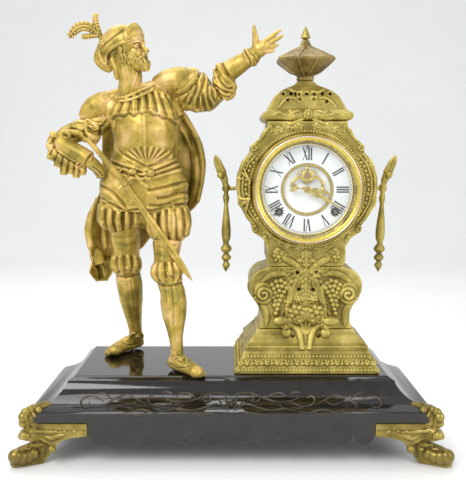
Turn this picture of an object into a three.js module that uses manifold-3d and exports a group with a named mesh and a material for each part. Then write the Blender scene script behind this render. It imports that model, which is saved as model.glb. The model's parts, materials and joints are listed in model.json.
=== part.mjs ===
// Figural mantel clock: a cavalier stands beside a waisted clock case on a black iron base with four scroll
// feet.
// Millimetres, +Z up, front towards -Y. The origin is on the floor, in the middle of the base.
import * as THREE from "three";
import { mergeVertices } from "three/addons/utils/BufferGeometryUtils.js";
import Module from "manifold-3d";

const wasm = await Module();
wasm.setup();

// Driving dimensions

const SEAT_GAP = 0.3; // clearance between pieces that sit on each other
const RUN_GAP = 0.4; // radial clearance of a shaft in its hole
const OVERRUN = 2; // how far a cutter passes the face that it cuts
const QUARTER_TURN = Math.PI / 2;
const FULL_TURN = Math.PI * 2;
// Sides of round bars and turned pieces, from small pins to the dial's rings.
const PIN_SIDES = 8;
const boltSides = 6;
const BAR_SIDES = 12;
const ROUND_SIDES = 36;
const DIAL_SIDES = 48;

const base = {
  height: 96, // deck above the floor
  deckWidth: 378,
  deckFront: 46, // deck edge in front of the origin
  back: 92, // flat back behind the origin
  spread: 46, // how far the moulding stands out below the deck
  mouldingHeight: 42,
  wall: 4,
  apronBottom: 27,
  apronSetback: 2,
  apronThick: 4,
  apronHalfLength: 166,
  bossSize: 22,
  bossHeight: 9,
};
// Moulding of the base, as shares of its spread and height, from the deck down.
const MOULDING_SHARES = [
  [0, 0],
  [0.04, 0.04],
  [0.15, 0.1],
  [0.17, 0.19],
  [0.28, 0.36],
  [0.43, 0.5],
  [0.65, 0.62],
  [0.95, 0.7],
  [1, 0.74],
  [1, 1],
];
const lobeSteps = 6;
const bigLobeRadius = 12.6;
const smallLobeRadius = 9.4;
const bigLobeCount = 8;

const foot = {
  reach: 16,
  halfWidth: 10,
  tipShare: 0.4,
  pawSetBack: 8,
  pawTurn: Math.PI * 0.14,
  armThick: 5,
  padThick: 5,
};
// Leg of a foot, up from the floor: inner and outer end away from the base's corner and half width, as
// shares of the reach and the half width, and height as a share of the fascia's foot. The paw points
// more to the side than the leg and the knee, which stand out along the diagonal.
const PAW_SHARES = [
  [-0.9, 1.35, 0.55, 0],
  [-1, 1.5, 0.62, 0.05],
  [-1.4, 1.5, 0.66, 0.22],
  [-1.7, 1.4, 0.7, 0.34],
  [-1.6, 0.8, 0.65, 0.42],
  [-1.6, -0.2, 0.55, 0.5],
];
const LEG_SHARES = [
  [-1.5, -0.45, 0.65, 0.57],
  [-1.6, 0.4, 0.8, 0.64],
  [-1.6, 0.6, 0.8, 0.7],
  [-1.6, 0.6, 0.8, 0.82],
  [-1.6, 0, 0.85, 0.92],
  [-1.7, 0.2, 0.9, 0.995],
];
const KNEE_SHARES = [
  [-1.7, 0.45, 0.8, 1.04],
  [-1.9, 0.6, 0.8, 1.17],
  [-2.1, 0.4, 0.75, 1.28],
  [-2.4, -0.3, 0.6, 1.37],
];
// Arm along the fascia: along its length, and up from the floor as a share of the fascia's foot.
const ARM_SHARES = [
  [0, 0.62],
  [0.2, 0.6],
  [0.32, 0.5],
  [0.3, 0.36],
  [0.34, 0.29],
  [0.39, 0.3],
  [0.43, 0.42],
  [0.52, 0.56],
  [0.71, 0.64],
  [1, 0.68],
  [1, 0.99],
  [0, 0.99],
];
const studRadius = 2; // cast on the foot pad
const studLength = 6;
const bolt = { headRadius: 5, headHeight: 4, radius: 2 };

// Clock case, in its own frame: the origin is on the deck, under the middle of the plinth.
const clock = {
  x: 92,
  y: 23,
  plinthHalfWidth: 88,
  plinthHalfDepth: 64,
  plinthHeight: 50,
  pedestalHeight: 79,
  scrollHalfWidth: 70,
  pedestalHalfDepth: 38,
  pedestalHollowHalfWidth: 41,
  pedestalHollowHalfDepth: 33,
  drumHalfWidth: 86,
  drumHalfDepth: 40,
  drumRise: 82, // top of the drum above the dial's centre
  drumDrop: 94, // foot of the neck block below the dial's centre
  rearWall: 4,
  rearHoleRadius: 48,
  boreRadius: 63.5,
  slotHalfWidth: 33,
  domeHeight: 51,
  corniceHalfWidth: 55.5,
  wall: 3,
};
// The plinth's steps, from the deck up: half width, half depth and height as shares of the plinth's.
const PLINTH_SHARES = [
  [1, 1, 0],
  [1, 1, 0.05],
  [0.872, 0.82, 0.5],
  [0.855, 0.8, 0.51],
  [0.86, 0.81, 0.53],
  [0.86, 0.81, 0.62],
  [0.82, 0.75, 0.68],
  [0.73, 0.66, 0.86],
  [0.7, 0.63, 0.9],
  [0.68, 0.61, 1],
];
// Right half of the pedestal's outline, from its foot up, as shares of the scroll's half width and of its
// height.
const PEDESTAL_SHARES = [
  [0.83, 0],
  [0.81, 0.04],
  [0.785, 0.15],
  [0.79, 0.26],
  [0.83, 0.36],
  [0.93, 0.48],
  [0.985, 0.58],
  [1, 0.68],
  [0.985, 0.77],
  [0.92, 0.87],
  [0.82, 0.94],
  [0.69, 0.97],
  [0.64, 1],
];
// Right half of the drum's outline, from the top down, as shares of its half width and of its rise.
const DRUM_SHARES = [
  [0.56, 1],
  [0.56, 0.92],
  [0.605, 0.87],
  [0.65, 0.77],
  [0.79, 0.645],
  [0.8, 0.55],
  [0.92, 0.4],
  [0.985, 0.2],
  [1, 0],
  [0.96, -0.22],
  [0.86, -0.42],
  [0.77, -0.54],
  [0.77, -0.63],
  [0.61, -0.74],
  [0.56, -0.86],
];
const NECK_HALF_WIDTH_SHARE = 0.56;
const NECK_FOOT_HALF_WIDTH_SHARE = 0.52;
// Cornice, dome and neck: half width and half depth as shares of the cornice's, height as a share of the
// dome's.
const DOME_SHARES = [
  [0.86, 0.82, 0],
  [0.96, 0.95, 0.04],
  [1, 1, 0.12],
  [0.99, 0.98, 0.18],
  [0.86, 0.82, 0.28],
  [0.8, 0.74, 0.42],
  [0.71, 0.64, 0.6],
  [0.57, 0.5, 0.74],
  [0.42, 0.38, 0.82],
  [0.27, 0.28, 0.89],
  [0.165, 0.2, 1],
];
const CORNICE_DEPTH_SHARE = 0.74;
const pierceRadius = 2.2;
const pierceCount = 7;
const PIERCE_SPAN_SHARE = 0.9;
const PIERCE_HEIGHT_SHARE = 0.66;

const urn = { height: 50, halfWidth: 34.5 };
// Octagonal urn: half width and height as shares of the urn's.
const URN_SHARES = [
  [0.27, 0],
  [0.31, 0.06],
  [0.27, 0.12],
  [0.24, 0.14],
  [0.52, 0.2],
  [0.66, 0.28],
  [0.98, 0.47],
  [1, 0.52],
  [0.82, 0.6],
  [0.47, 0.74],
  [0.3, 0.8],
  [0.2, 0.86],
  [0.12, 1],
];
const URN_CHAMFER_SHARE = 0.36;
const spike = { height: 17.5, radius: 6.4, stemRadius: 1.6, stemLength: 6 };
const SPIKE_SHARES = [
  [0, 0],
  [0.35, 0],
  [0.6, 0.06],
  [1, 0.14],
  [0.9, 0.26],
  [0.62, 0.5],
  [0.3, 0.78],
  [0, 1],
];

const rightDropLean = 0.035; // radians: it hangs out of true on its pin
const drop = { standOff: 13, length: 107, leafLength: 43, leafLean: 14, ballRadius: 5, depth: -6 };
// Turned part of a side drop, from its bracket ball down: radius and length as shares of the drop's.
const DROP_SHARES = [
  [0, 0.02],
  [0.02, 0.06],
  [0.036, 0.085],
  [0.022, 0.115],
  [0.02, 0.16],
  [0.03, 0.4],
  [0.042, 0.6],
  [0.036, 0.65],
  [0.014, 0.67],
  [0.056, 0.735],
  [0.016, 0.785],
  [0.046, 0.84],
  [0.014, 0.885],
  [0.036, 0.94],
  [0, 1],
];
const LEAF_SHARES = [
  [0, 0, 0.07],
  [-0.08, 0.25, 0.1],
  [-0.3, 0.55, 0.09],
  [-0.62, 0.82, 0.06],
  [-1, 1, 0.02],
];

// Dial and movement, in a frame whose origin is the dial's centre, half way through the case.
const dialHeight = clock.plinthHeight + clock.pedestalHeight + clock.drumDrop; // its centre, above the deck
const dial = {
  ringOuterRadius: 56,
  ringInnerRadius: 32,
  ringFront: -41,
  ringThick: 3.4,
  centreRingInnerRadius: 28.6,
  centreRingProud: 1.2,
  discThick: 1,
  panThick: 1,
  panRadius: 62,
  windingX: 34,
  windingZ: -27,
  windingHoleRadius: 4,
  regulatorZ: 51,
};
const surround = { front: -53.4, mouthRadius: 60.2, radius: 61.4, throatFront: -44 };
const bezel = { radius: 66.8, front: -58, lipRadius: 58.6, seatRadius: 62.6, lip: 2 };
const glass = { thick: 2, radius: 62.2 };
const hinge = { pinRadius: 1, knuckleRadius: 2.4, knuckle: 9, offset: 3.2 };
const rearCover = { radius: 54, thick: 2.4, dome: 5, rimShare: 0.8, knobRadius: 4, knobLength: 9 };

const movement = {
  plateHalfWidth: 42,
  plateHalfHeight: 38,
  plateThick: 1.6,
  frontPlate: -30,
  backPlate: 4,
  pillarRadius: 2.5,
  dialFootX: 24,
  dialFootZ: 32,
  dialFootRadius: 2,
  arborRadius: 1.5,
  tabHalfWidth: 6,
  tabTop: 57,
};
const pillarPlaces = [
  [-37.5, 33.5],
  [37.5, 33.5],
  [0, -35],
];
const TOOTH_TIP_SHARE = 0.6; // tooth above the pitch circle, as a share of the module
const TOOTH_ROOT_SHARE = 0.95;
const leaves = 6; // of every train pinion
const pinionPitchRadius = 3;
const trainModule = (pinionPitchRadius * 2) / leaves;
const greatTeeth = 38;
const secondTeeth = 38;
const centreTeeth = 38;
const thirdTeeth = 30;
const escapeTeeth = 20;
const strikeTeeth = 34;
const wheelThick = 1.5;
const pinionLength = 4.5;
// Front faces of the wheels, from the great wheels forward.
const plane = { great: -8, second: -14, centre: -20, third: -26, minute: -32.2, hour: -34, escape: -40.8 };
const greatAxle = [dial.windingX, dial.windingZ];
const secondRise = -1; // side of the line from the centre to the great wheel on which the second wheel lies
// Directions from the strike great wheel to the next wheel, and from there to the fly.
const STRIKE_SHARES = [0.41, 0.912];
const FLY_SHARES = [-0.25, 0.968];
const fly = { length: 20, thick: 1, front: -27, back: -17 };
const escape = { z: 13, radius: 7.4, anchorZ: 24, thick: 1.1, swingGap: 0.9 };
const cannonPitchRadius = 3;
const minutePinionPitchRadius = 2.4;
const minuteWheelAngle = 3.49; // radians from +X
const cannonTeeth = 12;
const minuteTeeth = 36;
const minuteLeaves = 10;
const hourTeeth = 40;
const motionModule = (cannonPitchRadius * 2) / cannonTeeth;
const hourModule = (minutePinionPitchRadius * 2) / minuteLeaves;
const motionThick = 1.2;
const pipeRadius = 2.7;
const barrel = { radius: 13, length: 9 };
const windingArbor = { radius: 1.9, front: -44.5 };
const bridge = { front: -44.5, thick: 1.3, footX: 17.5, footRadius: 2.5, boss: 3.6 };
const crutch = { y: 9.5, bottom: -9, radius: 1, fork: 2 };
const cock = { halfWidth: 5, bottom: 26.6, top: 33, reach: 18.5 };
const hand = {
  minuteLength: 46,
  hourLength: 30,
  thick: 0.8,
  width: 5,
  minuteFront: -49,
  hourFront: -47,
  minuteDegrees: 118, // clockwise from twelve
  hourDegrees: 99.8,
};
const HAND_SHARES = [
  [-0.16, 0.3],
  [0, 0.75],
  [0.14, 0.6],
  [0.3, 1],
  [0.45, 0.55],
  [0.6, 0.3],
  [0.92, 0.22],
  [1, 0.06],
];
const pendulum = {
  rodRadius: 1,
  bobRadius: 12,
  bobThick: 6,
  length: 138,
  depth: 14,
  springHalfWidth: 2.5,
  springHeight: 8,
};
const gong = { radius: 24, wireRadius: 1.5, turns: 2.5, clearance: 12, depth: -14, postRadius: 4 };
const gongDrop = pendulum.length + pendulum.bobRadius + gong.clearance + gong.postRadius - escape.anchorZ;
const hammer = { x: -12, z: -32, headRadius: 4.5, headLength: 9, rodRadius: 1.1, clearance: 1.7 };
const hammerReach = (gong.radius + gong.wireRadius + hammer.headRadius + hammer.clearance) * Math.SQRT1_2;
const hammerHead = [-hammerReach, hammerReach - gongDrop];
const caseBolt = { x: 37.5, grip: 9 };

// The figure, in its own frame: the origin is on the deck. Its points and radii are shares of its height.
const TORSO_SIDES = 14;
const HOSE_SIDES = 12;
const SMALL_SIDES = 8;
const FINGER_SIDES = 6;
const figure = { x: -105, y: 23, height: 425, sides: 10, boltGrip: 7 };
const FIGURE_BOLT_SHARES = [
  [-0.068, 0.112],
  [0.082, -0.118],
];
const TORSO_SHARES = [
  [-0.011, -0.002, 0.463, 0.127, 0.068],
  [-0.01, -0.005, 0.49, 0.129, 0.071],
  [-0.01, -0.007, 0.538, 0.129, 0.066],
  [-0.012, -0.009, 0.582, 0.114, 0.056],
  [-0.008, -0.012, 0.62, 0.092, 0.054],
  [-0.006, -0.014, 0.65, 0.094, 0.064],
  [-0.005, -0.014, 0.69, 0.097, 0.068],
  [-0.011, -0.012, 0.728, 0.101, 0.066],
  [-0.021, -0.007, 0.761, 0.101, 0.059],
  [-0.032, -0.002, 0.791, 0.097, 0.047],
  [-0.038, -0.002, 0.813, 0.068, 0.04],
  [-0.041, -0.002, 0.825, 0.041, 0.031],
];
const LEFT_HOSE_SHARES = [
  [-0.071, 0.005, 0.487, 0.06, 0.052],
  [-0.084, 0.005, 0.457, 0.071, 0.066],
  [-0.086, 0.007, 0.432, 0.069, 0.064],
  [-0.081, 0.009, 0.405, 0.045, 0.045],
];
const RIGHT_HOSE_SHARES = [
  [0.043, -0.007, 0.481, 0.06, 0.052],
  [0.054, -0.012, 0.446, 0.068, 0.066],
  [0.059, -0.014, 0.407, 0.067, 0.066],
  [0.061, -0.016, 0.383, 0.06, 0.056],
  [0.061, -0.016, 0.368, 0.039, 0.038],
];
const CROTCH_SHARES = [
  [-0.068, -0.002, 0.451, 0.039, 0.04],
  [-0.008, -0.005, 0.445, 0.042, 0.035],
  [0.046, -0.009, 0.44, 0.039, 0.04],
];
const LEFT_LEG_SHARES = [
  [-0.075, 0.009, 0.423, 0.042, 0.035],
  [-0.075, 0.019, 0.374, 0.045, 0.04],
  [-0.072, 0.026, 0.339, 0.041, 0.035],
  [-0.076, 0.031, 0.317, 0.043, 0.038],
  [-0.077, 0.033, 0.292, 0.047, 0.045],
  [-0.072, 0.038, 0.265, 0.039, 0.033],
  [-0.068, 0.049, 0.227, 0.041, 0.038],
  [-0.066, 0.066, 0.173, 0.037, 0.036],
  [-0.062, 0.082, 0.117, 0.027, 0.028],
  [-0.059, 0.096, 0.077, 0.022, 0.022],
  [-0.058, 0.106, 0.048, 0.022, 0.021],
  [-0.058, 0.115, 0.026, 0.024, 0.021],
];
const RIGHT_LEG_SHARES = [
  [0.059, -0.021, 0.396, 0.045, 0.035],
  [0.057, -0.033, 0.361, 0.044, 0.04],
  [0.056, -0.045, 0.33, 0.038, 0.035],
  [0.058, -0.052, 0.307, 0.04, 0.038],
  [0.057, -0.056, 0.281, 0.047, 0.047],
  [0.064, -0.064, 0.255, 0.036, 0.033],
  [0.075, -0.071, 0.227, 0.037, 0.036],
  [0.078, -0.078, 0.196, 0.04, 0.04],
  [0.081, -0.087, 0.156, 0.036, 0.036],
  [0.084, -0.096, 0.122, 0.027, 0.028],
  [0.086, -0.104, 0.094, 0.021, 0.022],
  [0.089, -0.108, 0.066, 0.019, 0.021],
  [0.09, -0.113, 0.046, 0.02, 0.021],
];
const LEFT_SHOE_SHARES = [
  [-0.049, 0.151, 0.019, 0.014, 0.018],
  [-0.061, 0.132, 0.026, 0.025, 0.025],
  [-0.082, 0.104, 0.026, 0.025, 0.026],
  [-0.111, 0.068, 0.019, 0.019, 0.028],
  [-0.129, 0.045, 0.014, 0.014, 0.024],
  [-0.141, 0.031, 0.009, 0.008, 0.014],
];
const RIGHT_SHOE_SHARES = [
  [0.073, -0.092, 0.019, 0.016, 0.019],
  [0.082, -0.106, 0.026, 0.026, 0.025],
  [0.104, -0.127, 0.026, 0.026, 0.026],
  [0.132, -0.155, 0.019, 0.019, 0.028],
  [0.155, -0.176, 0.014, 0.014, 0.024],
  [0.169, -0.187, 0.009, 0.008, 0.014],
];
const HEAD_SHARES = [
  [-0.048, -0.002, 0.816, 0.029, 0.028],
  [-0.046, -0.005, 0.842, 0.028, 0.029],
  [-0.038, -0.012, 0.869, 0.031, 0.031],
  [-0.036, -0.016, 0.892, 0.033, 0.036],
  [-0.039, -0.019, 0.914, 0.035, 0.04],
  [-0.045, -0.019, 0.937, 0.034, 0.041],
  [-0.055, -0.016, 0.958, 0.032, 0.038],
];
const BEARD_SHARES = [
  [-0.023, -0.024, 0.891, 0.019, 0.019],
  [-0.004, -0.028, 0.89, 0.021, 0.019],
  [0.011, -0.031, 0.895, 0.014, 0.015],
  [0.02, -0.033, 0.898, 0.006, 0.008],
];
const HELMET_SHARES = [
  [-0.103, -0.005, 0.879, 0.015, 0.028],
  [-0.114, -0.007, 0.903, 0.029, 0.04],
  [-0.105, -0.012, 0.931, 0.04, 0.049],
  [-0.084, -0.014, 0.95, 0.041, 0.052],
  [-0.059, -0.016, 0.962, 0.034, 0.048],
  [-0.036, -0.024, 0.97, 0.025, 0.038],
  [-0.023, -0.028, 0.972, 0.014, 0.026],
];
const EAR_GUARD_SHARES = [
  [-0.105, -0.014, 0.903, 0.013, 0.016],
  [-0.09, -0.028, 0.882, 0.012, 0.012],
  [-0.083, -0.035, 0.862, 0.012, 0.011],
  [-0.082, -0.031, 0.84, 0.008, 0.007],
];
const PLUME_SHARES = [
  [-0.134, 0.002, 0.946, 0.012, 0.014],
  [-0.141, 0.005, 0.969, 0.011, 0.012],
  [-0.145, 0.007, 0.993, 0.012, 0.012],
  [-0.149, 0.009, 1.017, 0.012, 0.011],
  [-0.148, 0.009, 1.032, 0.009, 0.008],
  [-0.146, 0.009, 1.041, 0.005, 0.005],
];
const SIDE_PLUME_SHARES = [
  [-0.146, 0.009, 0.987, 0.008, 0.009],
  [-0.165, 0.012, 0.985, 0.012, 0.011],
  [-0.182, 0.014, 0.985, 0.019, 0.011],
  [-0.199, 0.016, 0.985, 0.021, 0.011],
  [-0.215, 0.019, 0.976, 0.014, 0.009],
  [-0.231, 0.021, 0.962, 0.004, 0.005],
];
const RAISED_ARM_SHARES = [
  [0.032, -0.002, 0.827, 0.026, 0.031],
  [0.061, -0.002, 0.835, 0.036, 0.04],
  [0.091, -0.005, 0.827, 0.048, 0.047],
  [0.12, -0.007, 0.814, 0.062, 0.056],
  [0.15, -0.012, 0.811, 0.07, 0.061],
  [0.176, -0.014, 0.813, 0.067, 0.059],
  [0.2, -0.016, 0.825, 0.058, 0.052],
  [0.224, -0.021, 0.836, 0.058, 0.049],
  [0.245, -0.024, 0.848, 0.051, 0.042],
  [0.262, -0.028, 0.869, 0.038, 0.033],
  [0.285, -0.035, 0.89, 0.032, 0.028],
  [0.306, -0.04, 0.91, 0.026, 0.024],
  [0.322, -0.045, 0.924, 0.025, 0.019],
  [0.34, -0.049, 0.935, 0.027, 0.016],
  [0.359, -0.052, 0.94, 0.018, 0.012],
];
const BENT_ARM_SHARES = [
  [-0.116, -0.002, 0.762, 0.031, 0.035],
  [-0.149, 0, 0.752, 0.035, 0.04],
  [-0.176, -0.002, 0.729, 0.033, 0.04],
  [-0.197, -0.007, 0.698, 0.035, 0.039],
  [-0.222, -0.014, 0.672, 0.034, 0.035],
  [-0.241, -0.021, 0.652, 0.023, 0.026],
];
const GAUNTLET_SHARES = [
  [-0.268, -0.024, 0.663, 0.013, 0.019],
  [-0.254, -0.028, 0.648, 0.035, 0.028],
  [-0.23, -0.035, 0.628, 0.051, 0.033],
  [-0.205, -0.042, 0.609, 0.057, 0.034],
  [-0.186, -0.047, 0.597, 0.049, 0.031],
  [-0.175, -0.049, 0.59, 0.026, 0.021],
];
const HIP_HAND_SHARES = [
  [-0.181, -0.047, 0.6, 0.02, 0.019],
  [-0.156, -0.052, 0.586, 0.024, 0.021],
  [-0.138, -0.054, 0.568, 0.021, 0.019],
  [-0.135, -0.052, 0.552, 0.012, 0.014],
];
const BLADE_SHARES = [
  [-0.055, -0.089, 0.539, 0.007, 0.005],
  [0.007, -0.085, 0.446, 0.01, 0.005],
  [0.07, -0.085, 0.353, 0.012, 0.005],
  [0.104, -0.087, 0.303, 0.011, 0.005],
  [0.123, -0.089, 0.276, 0.006, 0.004],
  [0.135, -0.092, 0.259, 0.001, 0.002],
];
const GRIP_SHARES = [
  [-0.163, -0.085, 0.669, 0.01, 0.011],
  [-0.154, -0.085, 0.658, 0.007, 0.008],
  [-0.105, -0.087, 0.6, 0.009, 0.008],
  [-0.054, -0.089, 0.538, 0.009, 0.008],
];
const THUMB_SHARES = [
  [0.311, -0.047, 0.932, 0.011, 0.011],
  [0.316, -0.052, 0.965, 0.009, 0.008],
  [0.311, -0.054, 0.994, 0.004, 0.004],
];
const FORE_FINGER_SHARES = [
  [0.344, -0.052, 0.947, 0.01, 0.009],
  [0.366, -0.054, 0.962, 0.007, 0.007],
  [0.387, -0.056, 0.976, 0.003, 0.004],
];
const MIDDLE_FINGER_SHARES = [
  [0.352, -0.052, 0.941, 0.01, 0.009],
  [0.373, -0.056, 0.949, 0.007, 0.007],
  [0.394, -0.059, 0.962, 0.003, 0.004],
];
const LAST_FINGER_SHARES = [
  [0.349, -0.052, 0.93, 0.013, 0.009],
  [0.361, -0.056, 0.925, 0.011, 0.008],
  [0.374, -0.059, 0.926, 0.006, 0.005],
];
// Cape, from the shoulders down: left edge, right edge, height and front face.
const CAPE_SHARES = [
  [-0.106, 0.046, 0.813, 0.033],
  [-0.13, 0.084, 0.776, 0.045],
  [-0.141, 0.106, 0.747, 0.052],
  [-0.149, 0.129, 0.708, 0.059],
  [-0.15, 0.156, 0.66, 0.064],
  [-0.153, 0.166, 0.6, 0.068],
  [-0.155, 0.158, 0.538, 0.073],
  [-0.174, 0.144, 0.473, 0.078],
  [-0.197, 0.109, 0.436, 0.08],
  [-0.21, 0.012, 0.389, 0.08],
  [-0.2, -0.029, 0.336, 0.08],
  [-0.187, -0.098, 0.295, 0.08],
  [-0.2, -0.122, 0.26, 0.08],
  [-0.178, -0.146, 0.225, 0.08],
];
const GUARD_SHARES = [
  [-0.076, -0.089, 0.525],
  [-0.036, -0.085, 0.56],
];
const guardRadius = 2.6;
const cape = { thick: 5, bulge: 9 };

// Building blocks

function solidOf(geometry) {
  const bare = geometry.clone();
  bare.deleteAttribute("normal");
  bare.deleteAttribute("uv");
  const merged = mergeVertices(bare, 1e-4);
  const build = (triVerts) =>
    new wasm.Manifold(
      new wasm.Mesh({ numProp: 3, vertProperties: merged.attributes.position.array, triVerts }),
    );
  const faces = new Uint32Array(merged.index.array);
  const made = build(faces);
  return made.volume() < 0 ? build(faces.reverse()) : made;
}

function geometryOf(solid) {
  const mesh = solid.getMesh();
  const stride = mesh.numProp;
  const positions = new Float32Array(mesh.numVert * 3);
  for (let i = 0; i < mesh.numVert; i++) {
    positions.set(mesh.vertProperties.subarray(i * stride, i * stride + 3), i * 3);
  }
  const geometry = new THREE.BufferGeometry();
  geometry.setAttribute("position", new THREE.BufferAttribute(positions, 3));
  geometry.setIndex(new THREE.BufferAttribute(mesh.triVerts, 1));
  geometry.computeVertexNormals();
  return geometry;
}

function joined(...solids) {
  return solids.reduce((all, one) => all.add(one));
}

function cutFrom(solid, ...cutters) {
  return cutters.reduce((left, cutter) => left.subtract(cutter), solid);
}

function block(x0, x1, y0, y1, z0, z1) {
  const geometry = new THREE.BoxGeometry(x1 - x0, y1 - y0, z1 - z0);
  return solidOf(geometry.translate((x0 + x1) / 2, (y0 + y1) / 2, (z0 + z1) / 2));
}

// Round bar along Y, from y0 to y1.
function barY(radius, y0, y1, x = 0, z = 0, sides = BAR_SIDES) {
  const geometry = new THREE.CylinderGeometry(radius, radius, y1 - y0, sides);
  return solidOf(geometry.translate(x, (y0 + y1) / 2, z));
}

function barZ(radius, z0, z1, x = 0, y = 0, sides = BAR_SIDES) {
  const geometry = new THREE.CylinderGeometry(radius, radius, z1 - z0, sides);
  return solidOf(geometry.rotateX(QUARTER_TURN).translate(x, y, (z0 + z1) / 2));
}

// Straight bar between two points.
function strut(from, to, radius, sides = PIN_SIDES) {
  const a = new THREE.Vector3(...from);
  const b = new THREE.Vector3(...to);
  const along = b.clone().sub(a);
  const geometry = new THREE.CylinderGeometry(radius, radius, along.length(), sides);
  const turn = new THREE.Quaternion().setFromUnitVectors(new THREE.Vector3(0, 1, 0), along.normalize());
  geometry.applyQuaternion(turn);
  const middle = a.add(b).multiplyScalar(0.5);
  return solidOf(geometry.translate(middle.x, middle.y, middle.z));
}

function ball(radius, x, y, z, widthSegments = 10, heightSegments = 6) {
  return solidOf(new THREE.SphereGeometry(radius, widthSegments, heightSegments).translate(x, y, z));
}

// Body turned about Y from [radius, y] points.
function turnedY(points, sides = ROUND_SIDES) {
  return solidOf(new THREE.LatheGeometry(points.map(([r, y]) => new THREE.Vector2(r, y)), sides));
}

function turnedZ(points, sides = BAR_SIDES) {
  const outline = points.map(([r, z]) => new THREE.Vector2(r, z));
  return solidOf(new THREE.LatheGeometry(outline, sides).rotateX(QUARTER_TURN));
}

function ringY(outer, inner, y0, y1, sides = ROUND_SIDES) {
  return turnedY([[inner, y0], [outer, y0], [outer, y1], [inner, y1], [inner, y0]], sides);
}

// Plate with an outline in X and Z, from y0 to y1.
function plate(points, y0, y1) {
  const shape = new THREE.Shape(points.map(([x, z]) => new THREE.Vector2(x, z)));
  const geometry = new THREE.ExtrudeGeometry(shape, { depth: y1 - y0, bevelEnabled: false });
  return solidOf(geometry.rotateX(QUARTER_TURN).translate(0, y1, 0));
}

// Closed skin over rings of equally many points.
function skin(rings) {
  const count = rings[0].length;
  const positions = rings.flat(2);
  const faces = [];
  for (let i = 0; i + 1 < rings.length; i++) {
    for (let j = 0; j < count; j++) {
      const a = i * count + j;
      const b = i * count + ((j + 1) % count);
      faces.push(a, b, b + count, a, b + count, a + count);
    }
  }
  const last = (rings.length - 1) * count;
  for (let j = 1; j + 1 < count; j++) {
    faces.push(0, j + 1, j, last, last + j, last + j + 1);
  }
  const geometry = new THREE.BufferGeometry();
  geometry.setAttribute("position", new THREE.Float32BufferAttribute(positions, 3));
  geometry.setIndex(faces);
  return solidOf(geometry);
}

function rectangle(x0, x1, y0, y1, z) {
  return [[x0, y0, z], [x1, y0, z], [x1, y1, z], [x0, y1, z]];
}

// Stack of centred rectangles, given as [half width, half depth, height].
function stepped(levels) {
  return skin(levels.map(([w, d, z]) => rectangle(-w, w, -d, d, z)));
}

function mirroredOutline(half) {
  return [...half, ...half.map(([x, z]) => [-x, z]).reverse()];
}

function arcPoints(cx, cz, radius, from, to, steps) {
  return Array.from({ length: steps + 1 }, (_, i) => {
    const a = from + ((to - from) * i) / steps;
    return [cx + radius * Math.cos(a), cz + radius * Math.sin(a)];
  });
}

function flipped(solid, flipX, flipY) {
  return solidOf(geometryOf(solid).scale(flipX ? -1 : 1, flipY ? -1 : 1, 1));
}

// Limb over [x, y, z, a, b] stations: a is its half width across the front view and b its half depth.
function limb(stations, sides = figure.sides, grow = 0) {
  const middle = stations.map(([x, y, z]) => new THREE.Vector3(x, y, z));
  const first = middle[1].clone().sub(middle[0]).setLength(grow);
  const final = middle.at(-1).clone().sub(middle.at(-2)).setLength(grow);
  const depth = new THREE.Vector3(0, 1, 0);
  const rings = middle.map((point, i) => {
    const before = middle[Math.max(i - 1, 0)];
    const after = middle[Math.min(i + 1, middle.length - 1)];
    const along = after.clone().sub(before).normalize();
    const u = along.clone().cross(depth).normalize();
    const w = u.clone().cross(along);
    const centre = point.clone();
    if (i === 0) centre.sub(first);
    if (i === middle.length - 1) centre.add(final);
    return Array.from({ length: sides }, (_, j) => {
      const turn = (FULL_TURN * j) / sides;
      const p = centre
        .clone()
        .addScaledVector(u, (stations[i][3] + grow) * Math.cos(turn))
        .addScaledVector(w, (stations[i][4] + grow) * Math.sin(turn));
      return p.toArray();
    });
  });
  return skin(rings);
}

// Wheel with V-shaped teeth. tip is the angle at which a tooth points.
function wheelOutline(teeth, module, tip) {
  const pitch = (teeth * module) / 2;
  const points = [];
  for (let i = 0; i < teeth * 2; i++) {
    const r = pitch + (i % 2 ? -TOOTH_ROOT_SHARE : TOOTH_TIP_SHARE) * module;
    const a = tip + (Math.PI * i) / teeth;
    points.push([r * Math.cos(a), r * Math.sin(a)]);
  }
  return points;
}

function wheel(teeth, module, tip, y0, y1, x, z) {
  return plate(wheelOutline(teeth, module, tip).map(([u, v]) => [x + u, z + v]), y0, y1);
}

function angleBetween(from, to) {
  return Math.atan2(to[1] - from[1], to[0] - from[0]);
}

// Tooth angle of a driven wheel whose gap faces a tooth that points along driverAngle.
function gapFacing(driverAngle, teeth) {
  return driverAngle + Math.PI + Math.PI / teeth;
}

// Where two circles cross, on the left of the line from a to b.
function crossing(a, ra, b, rb) {
  const d = Math.hypot(b[0] - a[0], b[1] - a[1]);
  const along = (ra * ra - rb * rb + d * d) / (2 * d);
  const aside = Math.sqrt(Math.max(ra * ra - along * along, 0));
  const ux = (b[0] - a[0]) / d;
  const uz = (b[1] - a[1]) / d;
  return [a[0] + ux * along - uz * aside, a[1] + uz * along + ux * aside];
}

// Materials

const finish = {
  iron: new THREE.MeshStandardMaterial({ color: 0x15130f, roughness: 0.18, metalness: 0.1 }),
  bronze: new THREE.MeshStandardMaterial({ color: 0x9a8440, roughness: 0.45, metalness: 0.85 }),
  spelter: new THREE.MeshStandardMaterial({ color: 0xb08a45, roughness: 0.4, metalness: 0.85 }),
  gilt: new THREE.MeshStandardMaterial({ color: 0xd8ae3c, roughness: 0.22, metalness: 0.95 }),
  brass: new THREE.MeshStandardMaterial({ color: 0xc9a24a, roughness: 0.3, metalness: 0.95 }),
  steel: new THREE.MeshStandardMaterial({ color: 0x8d9096, roughness: 0.35, metalness: 0.95 }),
  porcelain: new THREE.MeshStandardMaterial({ color: 0xf2f4f2, roughness: 0.12, metalness: 0 }),
  glass: new THREE.MeshStandardMaterial({
    color: 0xf4fbf8,
    roughness: 0.05,
    metalness: 0,
    transparent: true,
    opacity: 0.3,
  }),
};

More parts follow.
